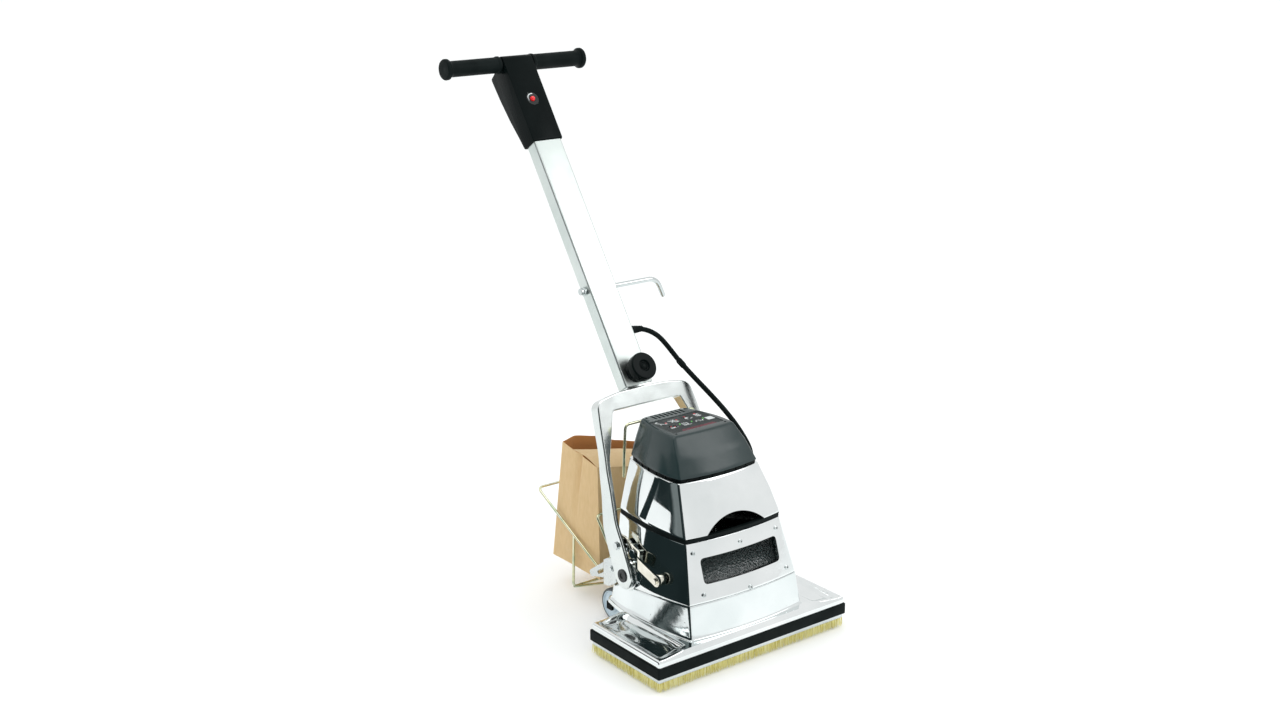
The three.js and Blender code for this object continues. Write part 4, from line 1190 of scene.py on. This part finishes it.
# Seal, upper cover with its arch, and the cap's seat
sealProfile = [
    (8.6, 231.3),
    (1.2, 231.3),
    (0.7, 231.8),
    (0.6, 233.4),
    (1.1, 235.2),
    (0.6, 237.2),
    (0.7, 239.2),
    (1.2, 239.7),
    (8.6, 239.7)
]
piece(
    "casing_seal",
    ringLoft([bodyLoop(bodyRows, z, inset) for inset, z in sealProfile], wrap=True),
    blackRubber,
    "housing",
    "casing_seal"
)
coverSettings = {"wall": 5, "archHalf": 68, "archRise": 27}
coverRings = [bodyLoop(bodyRows, 240.05, 0.9), bodyLoop(bodyRows, 240.35, 0.25), bodyLoop(bodyRows, 241)]
coverRings += [bodyLoop(bodyRows, z) for z in (246, 254, 262, 270, 278, 285, 294, 303, 312, 320, 325, 327.6)]
coverRings += [
    bodyLoop(bodyRows, 328.6, 0.35),
    bodyLoop(bodyRows, 329, 1.2),
    bodyLoop(bodyRows, 329, 9),
    bodyLoop(bodyRows, 325, 9)
]
coverRings += [bodyLoop(bodyRows, z, coverSettings["wall"]) for z in (325, 300, 285, 262, 240.05)]
half, rise = coverSettings["archHalf"], coverSettings["archRise"]
archRadius = (half**2 + rise**2) / (2 * rise)
archLine = [(-half + 2 * half * k / 36, 240 + rise - archRadius) for k in range(37)]
archLine = [(x, z + math.sqrt(archRadius**2 - x**2)) for x, z in archLine]
cover = carve(ringLoft(coverRings, wrap=True), slab([(-half, 232), *archLine, (half, 232)], -70, -5, "front"))
piece("upper_cover", cover, polishedAlloy, "housing", "upper_cover", sharp=30)
seatProfile = [(14.5, 329.3), (2.9, 329.3), (2.5, 329.8), (2.5, 334.2), (2.9, 334.7), (14.5, 334.7)]
seat = ringLoft(
    [[Vector((p.x, p.y, z)) for p in bodyLoop(capRows, 335, inset)] for inset, z in seatProfile], wrap=True
)
piece("cap_seat", seat, blackPlastic, "housing", "cap_seat")
tree, given, output = growthTree(
    "seatTab",
    [
        ("Width", "NodeSocketFloat", 0.008),
        ("Depth", "NodeSocketFloat", 0.002),
        ("Height", "NodeSocketFloat", 0.004)
    ]
)
tab = addNode(
    tree,
    "GeometryNodeMeshCube",
    inputs={"Size": vectorOf(tree, given["Width"], given["Height"], given["Depth"])}
)
fittedOnMarks(tree, given, output, tab.outputs["Mesh"], blackPlastic)
tabTree = tree
tabSettings = {"Width": 0.011, "Depth": 0.003, "Height": 0.0034}
seatLine = [p for p in bodyLoop(capRows, 335, 2.6)]
tabMarks, run, nextAt = [], 0.0, 12.0
for a, b in zip(seatLine, seatLine[1:] + seatLine[:1]):
    while run + (b - a).length > nextAt:
        spot = a.lerp(b, (nextAt - run) / (b - a).length)
        along = (b - a).normalized()
        tabMarks.append((Vector((spot.x, spot.y, 332)) / 1000, Vector((along.y, -along.x, 0))))
        nextAt += 27
    run += (b - a).length
tabs = grown("seat_tabs", tabTree, tabSettings, marks(tabMarks))
tabs.transform(Matrix.Scale(1000, 4))
piece("seat_tabs", tabs, blackPlastic, "housing")

# Motor cap: rounded top edge, recess for the panel, comb of slots at the back and four screw holes
capSettings = {"wall": 3.5, "panel": (-60, 66, 60, 141), "depth": 1.8, "slots": 8, "pitch": 9.5}
capRings = [bodyLoop(capRows, 335.1, 1.0), bodyLoop(capRows, 335.4, 0.3), bodyLoop(capRows, 336.2)]
capRings += [bodyLoop(capRows, z) for z in (341, 348, 355, 362, 370, 376, 382, 388, 393, 396)]
capRings += [
    bodyLoop(capRows, 398.2, 0.25),
    bodyLoop(capRows, 399.8, 1.0),
    bodyLoop(capRows, 400.7, 2.2),
    bodyLoop(capRows, 401, 3.8)
]
capRings += [bodyLoop(capRows, 401, 12), bodyLoop(capRows, 401, 24)]
cap = ringLoft(capRings)
hollow = ringLoft(
    [
        [Vector((p.x, p.y, z)) for p in bodyLoop(capRows, max(z, 335), capSettings["wall"])]
        for z in (330, 335, 352, 370, 385, 396.5)
    ]
)
tree, given, output = growthTree("slotRow", [
    ("Count", "NodeSocketInt", 8), ("Pitch", "NodeSocketFloat", 9.5), ("Width", "NodeSocketFloat", 4.8), (
        "Length", "NodeSocketFloat", 19.0
    ),
])
slotLine = addNode(
    tree, "GeometryNodeMeshLine", inputs={"Count": given["Count"], "Offset": vectorOf(tree, given["Pitch"])}
)
slotBox = addNode(
    tree, "GeometryNodeMeshCube", inputs={"Size": vectorOf(tree, given["Width"], given["Length"], 8.0)}
)
placed = addNode(
    tree,
    "GeometryNodeInstanceOnPoints",
    inputs={"Points": slotLine.outputs["Mesh"], "Instance": slotBox.outputs["Mesh"]}
)
real = addNode(tree, "GeometryNodeRealizeInstances", inputs={"Geometry": placed.outputs[0]})
painted = addNode(
    tree, "GeometryNodeSetMaterial", inputs={"Geometry": real.outputs[0], "Material": slatePlastic}
)
tree.links.new(painted.outputs[0], output["Geometry"])
slots = grown(
    "slot_row",
    tree,
    {"Count": capSettings["slots"], "Pitch": capSettings["pitch"], "Width": 4.8, "Length": 19.0}
)
slots.transform(Matrix.Translation((-(capSettings["slots"] - 1) / 2 * capSettings["pitch"], 158.5, 402.5)))
recess = slab(rectangle(*capSettings["panel"], 4, 5), 401 - capSettings["depth"], 404, "top")
screwHoles = [
    slab(circle(2.6, 24, place), 398.4, 404, "top")
    for place in ((-58, 61), (58, 61), (-46, 163.5), (46, 163.5))
]
cap = carve(cap, hollow, recess, slots, *screwHoles)
piece("motor_cap", cap, slatePlastic, "housing", "motor_cap", sharp=28)
film = eased(slab(rectangle(-59.7, 66.3, 59.7, 140.7, 3.7, 5), 399.5, 400.4, "top"), 0.25, 1)
piece("control_panel", film, panelFilm, "housing", "control_panel", weighted=True)

# Small pictures printed on the panel: handle, wheel, lamp, bag and blocks, each a thin raised print
inkLow, inkHigh = 400.38, 400.52


def bar(x0, y0, x1, y1, width):
    along = (Vector((x1, y1)) - Vector((x0, y0))).normalized() * width / 2
    side = Vector((-along.y, along.x))
    a, b = Vector((x0, y0)) - along, Vector((x1, y1)) + along
    return slab([tuple(p) for p in (a - side, b - side, b + side, a + side)], inkLow, inkHigh, "top")


def dot(x, y, radius):
    return slab(circle(radius, 24, (x, y)), inkLow, inkHigh, "top")


def hoopMark(x, y, radius, width, start=0, stop=360):
    angles = [math.radians(start + (stop - start) * k / 24) for k in range(25)]
    bars = [
        bar(
            x + radius * math.cos(a),
            y + radius * math.sin(a),
            x + radius * math.cos(b),
            y + radius * math.sin(b),
            width
        )
        for a, b in zip(angles, angles[1:])
    ]
    return together(*bars)


white = [
    bar(-50, 129, -40, 117, 2.2), bar(-40, 117, -35, 117, 2.2), bar(-48, 117, -45, 123, 1.6), bar(-51, 131, -46, 133, 2),
    bar(-24, 127, -14, 116, 2.2), bar(-22, 117, -12, 128, 1.8), bar(-17, 129, -8, 120, 1.6), bar(-14, 115, -8, 116, 2.4),
    hoopMark(14, 121, 6.5, 1.7, 20, 260), dot(14, 121, 3.2), bar(20, 115, 26, 118, 1.4),
    bar(38, 128, 46, 128, 2.6), bar(38, 123, 46, 123, 2.6), bar(38, 118, 46, 118, 2.6), bar(42, 130, 42, 116, 2),
    hoopMark(-36, 97, 6.5, 3.0, -60, 190), bar(-42, 92, -32, 92, 3.4), bar(-30, 92, -30, 99, 2.6),
    bar(-12, 102, -12, 93, 1.8), bar(-12, 93, -2, 93, 1.8), bar(-2, 93, -2, 102, 1.8), bar(-7, 104, -7, 98, 1.4), bar(-15, 90, 2, 90, 1.2),
    bar(17, 95, 22, 101, 2.4), bar(22, 101, 28, 95, 2.4), hoopMark(24, 96, 4, 1.6, 0, 300), bar(31, 93, 34, 98, 1.8),
    slab(rectangle(42, 89, 58, 103, 1.5, 3), inkLow, inkHigh, "top"),
]
red = [
    dot(-34, 121, 2.1),
    dot(-7, 124, 2.1),
    dot(15, 128, 2.4),
    dot(42, 131, 2.4),
    bar(-41, 99, -37, 102, 2.2),
    bar(-33, 95, -30, 97, 2.4)
]
green = [bar(-18, 99, -16, 103, 2.2), bar(9, 98, 11, 102, 2.2), bar(38, 100, 40, 104, 2.2)]
strip = []
for row in range(4):
    y, x = 67.4 + 2.3 * row, -36.0 + row
    seed = random.Random(row + 3)
    while x < 40:
        length = seed.uniform(3, 9)
        strip.append(bar(x, y, min(x + length, 43), y, 1.1))
        x += length + 2.2
piece("panel_marks_white", together(*white), whiteInk, "housing")
piece("panel_marks_red", together(*red), redInk, "housing")
piece("panel_marks_green", together(*green), greenInk, "housing")
piece("panel_marks_strip", together(*strip), dimRedInk, "housing")
capScrews = [
    moved(turned([(0, 0), (2.3, 0), (2.3, 1.0), (1.2, 1.5), (0, 1.5)], 20, 0.2), None, (x, y, 398.3))
    for x, y in ((-58, 61), (58, 61), (-46, 163.5), (46, 163.5))
]
piece("cap_screws", together(*capScrews), blackSteel, "housing")
print("covers made")

# Drum and motor
drumCentre, motorCentre = (16, 97), (76, 282)
piece(
    "abrasive_sleeve",
    sleeve(82, 79.8, -84, 104, drumCentre, 160, 0.8),
    abrasiveCloth,
    "drum",
    "abrasive_sleeve"
)
core = together(rod(79.5, -83.6, 103.6, drumCentre, 96, 1.0), rod(9, -123, 125, drumCentre, 40, 0.6))
piece("drum_core", core, sheetSteel, "drum", "drum_core")
motorProfile = [(7.5, -70), (41, -70), (41, -54), (55, -52)]
for k in range(9):
    x = -48 + 11 * k
    motorProfile += [(55, x), (55, x + 3), (50.5, x + 3.8), (50.5, x + 10.2)]
motorProfile += [(55, 50), (41, 52), (41, 62), (7.5, 62)]
shell = moved(turned(motorProfile, 96, 0.6, True), alongX, (0, *motorCentre))
foot = eased(slab(rectangle(50, 226, 102, 262), -30, 34, "side"), 1.5)
piece("motor", together(shell, foot), blackPlastic, "housing", "motor", weighted=True)

# Wheels: pale discs with a darker tyre, each on its own side of the axle
wheelCentre = (189, 32)
discProfile = [
    (6.4, 88),
    (14, 88),
    (15, 91),
    (25.6, 92),
    (26.4, 89),
    (27.4, 89),
    (27.4, 110),
    (26.4, 110),
    (25, 107),
    (15, 107),
    (14, 110.5),
    (6.4, 110.5)
]
tyreProfile = [(27.4, 89.4), (30.5, 89), (32, 91), (32, 108), (30.5, 110), (27.4, 109.6)]
for name, side in (("left", -1), ("right", 1)):
    spin = Matrix.Rotation(math.pi, 4, "Z") if side < 0 else Matrix.Identity(4)
    place = (0, *wheelCentre)
    disc = moved(turned(discProfile, 72, 0.7, True), spin @ alongX, place)
    tyre = moved(turned(tyreProfile, 72, 0.7, True), spin @ alongX, place)
    piece(f"wheel_{name}", disc, wheelPlastic, f"{name}_wheel", f"wheel_{name}")
    piece(f"wheel_{name}_tyre", tyre, tyreRubber, f"{name}_wheel")
squares = [
    eased(slab(rectangle(181, 24, 197, 40, 1, 3), x0, x1, "side"), 0.8)
    for x0, x1 in ((-116, -111), (111, 116))
]
piece(
    "wheel_axle",
    together(rod(6, -112, 112, wheelCentre, 32), *squares),
    blackPlastic,
    "housing",
    "wheel_axle",
    weighted=True
)
print("drum, motor and wheels made")

# Yoke: the front outline cut by the side outline, all edges rounded over
yokeSettings = {"round": 3.0}
outerEdge = [(147, 60), (147, 92), (142, 122), (136, 152), (130, 190), (122.5, 229), (116.5, 279)]
yokeCrown = roundedOutline([(116.5, 279), (110, 322), (60, 331), (0, 333)], 17, 10, False)
innerEdge = [(139, 60), (139, 92), (133, 120), (125, 160), (116, 206), (105, 233), (94, 260)]
outerHalf = [(147, -27), (147, 20)] + [tuple(p) for p in smoothLine(outerEdge, 4)] + yokeCrown[1:-1]
innerHalf = [(139, -27), (139, 20)] + [tuple(p) for p in smoothLine(innerEdge, 4)] + roundedOutline(
    [(94, 260), (80, 298), (0, 298)], 6, 8, False
)[1:-1]
frontOutline = outerHalf + [(0, 333)] + [
    (-x, s) for x, s in reversed(outerHalf)
] + [(-x, s) for x, s in innerHalf] + list(reversed(innerHalf))
backEdge = [
    tuple(p)
    for p in smoothLine([(26, 0), (25.2, 36), (23.5, 75), (16.5, 157), (12, 229), (13, 290), (14, 334)], 6)
]
faceEdge = [(-y, s) for y, s in reversed(backEdge)]
eye = [(26 * math.cos(a), 26 * math.sin(a)) for a in (math.pi + math.pi * k / 30 for k in range(31))]
sideOutline = eye + backEdge[1:] + faceEdge[:-1]
yokeShape = carve(
    slab(frontOutline, -40, 40, "front"), slab(sideOutline, -160, 160, "side"), operation="INTERSECT"
)
bmesh.ops.dissolve_limit(
    yokeShape, angle_limit=math.radians(0.4), verts=yokeShape.verts, edges=yokeShape.edges
)
yokeShape = eased(yokeShape, yokeSettings["round"], 4, 40, False)
handleToYoke = yokeSpace.inverted() @ handleSpace
spigot = eased(slab(rectangle(-28.3, -11.95, 28.3, 11.95, 2, 4), -708, -606.5, "top"), 1)
spigot.transform(handleToYoke)
piece(
    "yoke",
    together(yokeShape, spigot),
    yokeAlloy,
    "yoke_frame",
    "yoke",
    yokeSpace,
    weighted=True
)


def boltHead(radius, x0, x1, centre, soft=0.8):
    return eased(moved(turned([(0, x0), (radius, x0), (radius, x1), (0, x1)], 6), alongX, (0, *centre)), soft)


for name, side in (("pivot_bolt_left", -1), ("pivot_bolt_right", 1)):
    shank = rod(8, *sorted((side * 124, side * 147.4)), (105, 132), 40, 0.5)
    cup = sleeve(12.5, 5.2, *sorted((side * 146.8, side * 149.2)), (105, 132), 48, 0.9)
    piece(name, together(shank, cup), blackSteel, "housing", name)
catchBolt = (-7.7, 56)
bolt = together(
    rod(4, -147.5, -128, catchBolt, 28),
    boltHead(7, -151.5, -147.2, catchBolt),
    sleeve(9, 4.2, -147.6, -146.9, catchBolt, 36, 0.2)
)
piece("catch_bolt", bolt, chromeSteel, "yoke_frame", "catch_bolt", yokeSpace, weighted=True)
ribTotal = 20
ribbed = [(9 - (0.7 if k % 2 else 0)) for k in range(ribTotal * 2)]
ribRings = []
for x in (-138.4, -138.0, -129.9, -129.5):
    shrink = 0.6 if x in (-138.4, -129.5) else 0
    ribRings.append(
        [
            Vector(
                (
                    x,
                    catchBolt[0] + (r - shrink) * math.cos(2 * math.pi * k / len(ribbed)),
                    catchBolt[1] + (r - shrink) * math.sin(2 * math.pi * k / len(ribbed))
                )
            )
            for k, r in enumerate(ribbed)
        ]
    )
piece("catch_roller", ringLoft(ribRings), blackRubber, "catch", "catch_roller", yokeSpace)

# Pedal: one bent plate with a roller in front, turning on its pin
pedalRoller, pedalPivot = (5, 157), (86, 180)
pedalSide = roundedOutline([
    (-7, 157), (-3, 148), (5, 145.5), (14, 149), (84, 170), (95, 180), (100, 191.5), (138, 199.5),
    (139, 206), (108, 204), (92, 193.5), (80, 190.5), (6, 168.5), (-4, 165),
], 5, 4)
pedalPlan = roundedOutline(
    [
        (-149.4, -10),
        (-149.4, 58),
        (-136.6, 73),
        (-136.6, 145),
        (-132.2, 145),
        (-132.2, 71),
        (-145, 56),
        (-145, -10)
    ],
    5,
    5
)
lever = carve(slab(pedalSide, -155, -125, "side"), slab(pedalPlan, 130, 220, "top"), operation="INTERSECT")
lever = eased(lever, 0.9, 2, 40)
leverScrew = together(
    rod(4, -150.5, -131.5, pedalRoller, 24),
    boltHead(6.5, -153.5, -149.3, pedalRoller),
    sleeve(9, 4.2, -150.0, -149.2, pedalRoller, 36, 0.2)
)
piece(
    "pedal_lever",
    together(lever, leverScrew),
    pedalSteel,
    "pedal",
    "pedal_lever",
    weighted=True
)
piece(
    "pedal_roller",
    sleeve(11, 4.4, -144.6, -131.5, pedalRoller, 56, 1.4),
    pedalSteel,
    "pedal_tread",
    "pedal_roller"
)
pin = together(rod(5, -136.9, -119, pedalPivot, 32), rod(8.5, -141, -136.9, pedalPivot, 40, 1.0))
piece("pedal_pin", pin, chromeSteel, "housing", "pedal_pin")
print("yoke and pedal made")

# Handle: tube, switch head with its lamp, bar and grips
tubeOuter = rectangle(-32, -15.25, 32, 15.25, 4, 6)
tubeInner = rectangle(-29.5, -12.75, 29.5, 12.75, 2, 6)
tubeRings = [[Vector((x, y, s)) for x, y in outline] for outline, s in (
    (tubeInner, -696.5), (
        [(x * 0.992, y * 0.985) for x, y in tubeOuter], -696.5
    ), (tubeOuter, -696.0), (tubeOuter, -360), (tubeOuter, -16), (tubeInner, -16),
)]


headSettings = {"half": 34.6, "front": -18, "recess": 14, "button": -87, "bore": 5.6, "tubeFront": -15.25}


def buttonBore():
    return moved(turned([(0, -10), (headSettings["bore"], -10), (headSettings["bore"], 16), (0, 16)], 40), facingFront, (0, headSettings["tubeFront"], headSettings["button"]))


piece(
    "handle_tube",
    carve(ringLoft(tubeRings, wrap=True), buttonBore()),
    tubeAlloy,
    "handle",
    "handle_tube",
    handleSpace
)
headSide = [
    (-18, 6),
    (-18, -178),
    (21, -178),
    (25.5, -152),
    (35, -106),
    (41.5, -59),
    (44, -30),
    (45.4, -11),
    (43, -7.5),
    (27, -4.5),
    (17, 8),
    (10, 13.5),
    (-6, 14),
    (-14, 11.5)
]
head = slab(roundedOutline(headSide, 5, 5), -headSettings["half"], headSettings["half"], "side")
recessTool = moved(turned([(0, -6), (headSettings["recess"], -6), (headSettings["recess"], 2.4), (0, 2.4)], 64), facingFront, (0, headSettings["front"], headSettings["button"]))
head = carve(eased(head, 1.6, 3, 40), recessTool, buttonBore())
piece("switch_head", head, blackPlastic, "handle", "switch_head", handleSpace, sharp=30)
lens = [(0, -3), (5.2, -3), (5.2, 1.2), (4.8, 3.2), (3.8, 5.0), (2.2, 6.4), (0, 7.0)]
piece(
    "start_button",
    moved(turned(lens, 48), facingFront, (0, headSettings["tubeFront"], headSettings["button"])),
    redLamp,
    "button",
    "start_button",
    handleSpace
)
dish = moved(
    turned([(5.7, 0), (13.7, 0), (13.7, 1.6), (5.7, 0.9)], 64, 0.3, True), facingFront, (0, -15.6, headSettings["button"])
)
piece("lamp_dish", dish, blackSteel, "handle", (), handleSpace)
arc = [
    Vector((10.6 * math.cos(a), -17.2, -87 + 10.6 * math.sin(a)))
    for a in (math.radians(75 + 125 * k / 20) for k in range(21))
]
piece("lamp_glint", tube(arc, 1.3, 12), chromeSteel, "handle", (), handleSpace)
piece(
    "t_bar",
    sleeve(11.5, 9.3, -157, 157, (0, 0), 48),
    chromeSteel,
    "handle",
    "t_bar",
    handleSpace
)
gripProfile = [
    (11.9, 37.5),
    (17.3, 37.5),
    (17.3, 42.5),
    (15.8, 45),
    (15.8, 147.5),
    (17.5, 152.5),
    (20.5, 154.5),
    (20.7, 160.5),
    (18.5, 163.5),
    (0, 163.5),
    (0, 157.5),
    (11.9, 157.5)
]
for name, side in (("grip_left", -1), ("grip_right", 1)):
    spin = Matrix.Rotation(math.pi, 4, "Z") if side < 0 else Matrix.Identity(4)
    piece(
        name,
        moved(turned(gripProfile, 56, 1.2, True), spin @ alongX),
        blackRubber,
        "handle",
        name,
        handleSpace
    )
knobProfile = [
    (0, -3),
    (5, -3),
    (5, 0.3),
    (20.5, 0.3),
    (22.5, 2.5),
    (22.5, 17),
    (26, 18),
    (27.2, 20),
    (27.2, 33),
    (25.5, 35.5),
    (11.5, 35.5),
    (10, 32),
    (8, 31.4),
    (6, 33.2),
    (3, 34.2),
    (0, 34.5)
]
piece(
    "clamp_knob",
    moved(turned(knobProfile, 72, 0.9), facingFront, (0, -15.25, -672)),
    blackPlastic,
    "knob",
    "clamp_knob",
    handleSpace
)
hookLine = bentRoute([(-41, 372, 599.5), (139, 372, 599.5), (158, 372, 559.5)], 22, 12)
hookParts = [
    tube(hookLine, 5, 20, 0.4),
    rod(8.5, 32.3, 36, (372, 599.5), 40),
    boltHead(9, -39.5, -32.3, (372, 599.5)),
    rod(6.6, -46, -39, (372, 599.5), 28, 1.2)
]
piece("cable_hook", together(*hookParts), chromeSteel, "hook", "cable_hook", weighted=True)
piece(
    "cord_gland", rod(8, 32.3, 41, (318.5, 522), 32, 0.8), blackRubber, "handle", "cord_gland"
)
piece(
    "cover_gland",
    rod(6.5, 101, 116, (96, 262), 32, 0.8),
    blackRubber,
    "housing",
    "cover_gland"
)
print("handle made")

# Rack: two brackets, the bent wires, and the hanger wire on the cover
bracketSide = roundedOutline(
    [(137, 104), (137, 150), (160, 147), (192, 128), (262, 78), (256, 68), (200, 84), (158, 90)], 6, 5
)
bracketPlan = roundedOutline(
    [
        (-138.4, 136),
        (-138.4, 176),
        (-109.5, 214),
        (-109.5, 266),
        (-106.7, 266),
        (-106.7, 212),
        (-135.4, 174),
        (-135.4, 136)
    ],
    8,
    5
)
for name, side in (("rack_bracket_left", 1), ("rack_bracket_right", -1)):
    bracket = carve(
        slab(bracketSide, -145, -100, "side"), slab(bracketPlan, 60, 170, "top"), operation="INTERSECT"
    )
    hole = rod(3.4, -150, -95, (150, 128), 24, 0)
    slot = slab(roundedOutline([(206, 96), (232, 80), (236, 86), (210, 102)], 3, 4), -150, -95, "side")
    bracket = eased(carve(bracket, hole, slot), 0.4, 1, 40)
    screw = together(
        rod(6, -140.6, -138.4, (150, 128), 28, 0.6), boltHead(4.4, -142.6, -140.4, (150, 128), 0.5)
    )
    shape = together(bracket, screw)
    if side < 0:
        shape.transform(Matrix.Scale(-1, 4, (1, 0, 0)))
        bmesh.ops.reverse_faces(shape, faces=shape.faces)
    piece(name, shape, sheetSteel, "housing", name, weighted=True)
rackX, wire = 101.25, 2.75


def hoop(y0, z0, y1, z1, bend):
    return tube(
        bentRoute([(-rackX, y0, z0), (-rackX, y1, z1), (rackX, y1, z1), (rackX, y0, z0)], bend, 10), wire
    )


links = [
    tube(bentRoute([(x, 196, 131), (x, 236, 85.5), (x, 300, 117.4)], 5, 8), wire) for x in (-rackX, rackX)
]
brace = tube(bentRoute([(-rackX, 327, 18), (0, 286, 18), (rackX, 327, 18)], 14, 10), wire)
rack = together(
    hoop(236, 85.5, 446, 190, 14), hoop(323, 129, 327, 18, 10), hoop(196, 131, 248, 194, 10), brace, *links
)
piece("rack_frame", rack, zincWire, "housing", "rack_frame")
hangerSide = [(186, 286), (185, 330), (181, 391)]
hanger = bentRoute([(-82, *p) for p in hangerSide] + [(82, *p) for p in reversed(hangerSide)], 10, 10)
piece("bag_hanger", tube(hanger, wire), zincWire, "housing", "bag_hanger")

# Paper bag: a thin lofted shell, creased down its sides, its front panel folded back over the mouth
bagSettings = {"half": 92, "bottom": 57, "paper": 0.8, "levels": 46}
sideSteps, crossSteps = 26, 34
mouthRear = [(-92, 371, 307), (-55, 383, 308), (0, 384, 296), (45, 383, 277), (92, 371, 268)]


def alongRear(x):
    for (x0, y0, z0), (x1, y1, z1) in zip(mouthRear, mouthRear[1:]):
        if x <= x1:
            t = smoothStep(x0, x1, x) * 0.4 + 0.6 * (x - x0) / (x1 - x0)
            return y0 + (y1 - y0) * t, z0 + (z1 - z0) * t
    return mouthRear[-1][1:]


def bagRing(level, inset):
    half = bagSettings["half"] - inset
    ring = []
    for side in range(4):
        steps = crossSteps if side in (0, 2) else sideSteps
        for k in range(steps):
            t = k / steps
            shareX = (2 * t - 1, 1, 1 - 2 * t, -1)[side]
            top = {
                0: (256 + inset, 286 - 36 * t), 1: (256 + 115 * t, 250 + 18 * t),
                2: alongRear(92 * shareX), 3: (371 - 115 * t, 307 - 21 * t),
            }[side]
            bottomY = (
                250 + inset,
                250 + inset + (159 - 2 * inset) * t,
                409 - inset,
                409 - inset - (159 - 2 * inset) * t
            )[side]
            x, y = half * shareX, bottomY + (top[0] - (inset if side == 2 else 0) - bottomY) * level
            z = bagSettings["bottom"] + inset + (top[1] - bagSettings["bottom"] - inset) * level
            bow = math.sin(math.pi * min(max(level, 0), 1))
            across = math.sin(math.pi * t)
            crease = math.exp(-((t - 0.5) / 0.05) ** 2)
            wave = noise.noise(Vector((x * 0.02, y * 0.02, z * 0.012))) * 2.2 * across
            if side in (1, 3):
                out = 5.5 * bow * across - 7.0 * crease * smoothStep(0.1, 0.9, level) + wave - 2.5 * math.exp(-((z - 78) / 5) ** 2) * across
                x += (1 if side == 1 else -1) * min(out, 5.5)
            elif side == 0:
                y -= min(max(-2.5 * bow * across + wave * 0.5, -3), 0.5)
            else:
                y += 7 * bow * across + wave
            ring.append(Vector((x, y, z)))
    return ring


levelsUp = [k / bagSettings["levels"] for k in range(bagSettings["levels"] + 1)]
bag = ringLoft(
    [bagRing(level, 0) for level in levelsUp] + [
        bagRing(level, bagSettings["paper"]) for level in reversed(levelsUp)
    ]
)
# inner face of the paper marked to take the painted shade inside the bag
layer = bag.verts.layers.float.new("inside")
bag.verts.ensure_lookup_table()
bag.verts.index_update()
outerCount = len(levelsUp) * 2 * (crossSteps + sideSteps)
for vertex in bag.verts:
    vertex[layer] = 1.0 if vertex.index >= outerCount else 0.0
piece("dust_bag", bag, kraftPaper, "bag", "dust_bag", sharp=50)
lid = []
for row in range(18):
    t = row / 17
    line = []
    for k in range(31):
        u = k / 30
        x = -92 + 184 * u
        front = Vector((x, 256, 286 - 36 * u))
        back = Vector((x * 0.985, 340 - 4 * u, 298 - 36 * u))
        p = front.lerp(back, t)
        p.z += 5.5 * math.sin(math.pi * t) + 1.2 * noise.noise(Vector((x * 0.03, t * 2, 3))) * t + 1.0
        line.append(p)
    lid.append(line + [p - Vector((0, 0, 0.8)) for p in reversed(line)])
lidShape = ringLoft(lid)
piece("bag_lid", lidShape, kraftPaper, "bag", sharp=50)
print("rack and bag made")

# Finishes of the parts that keep their own shape
slotFinish = {
    "polished_alloy": polishedAlloy, "satin_alloy": sheetSteel, "black_rubber": blackRubber, "black_plastic": blackPlastic,
    "slate_plastic": slatePlastic, "panel_film": panelFilm, "chrome_steel": chromeSteel, "pedal_steel": pedalSteel,
    "black_steel": blackSteel, "zinc_wire": zincWire, "bristle": bristleFibre, "abrasive": abrasiveCloth,
    "clear_pane": clearPane, "kraft_paper": kraftPaper, "wheel_plastic": wheelPlastic, "red_lamp": redLamp,
}
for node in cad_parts.values():
    node.data.materials[0] = slotFinish[node.data.materials[0].name]

print("finishes set")
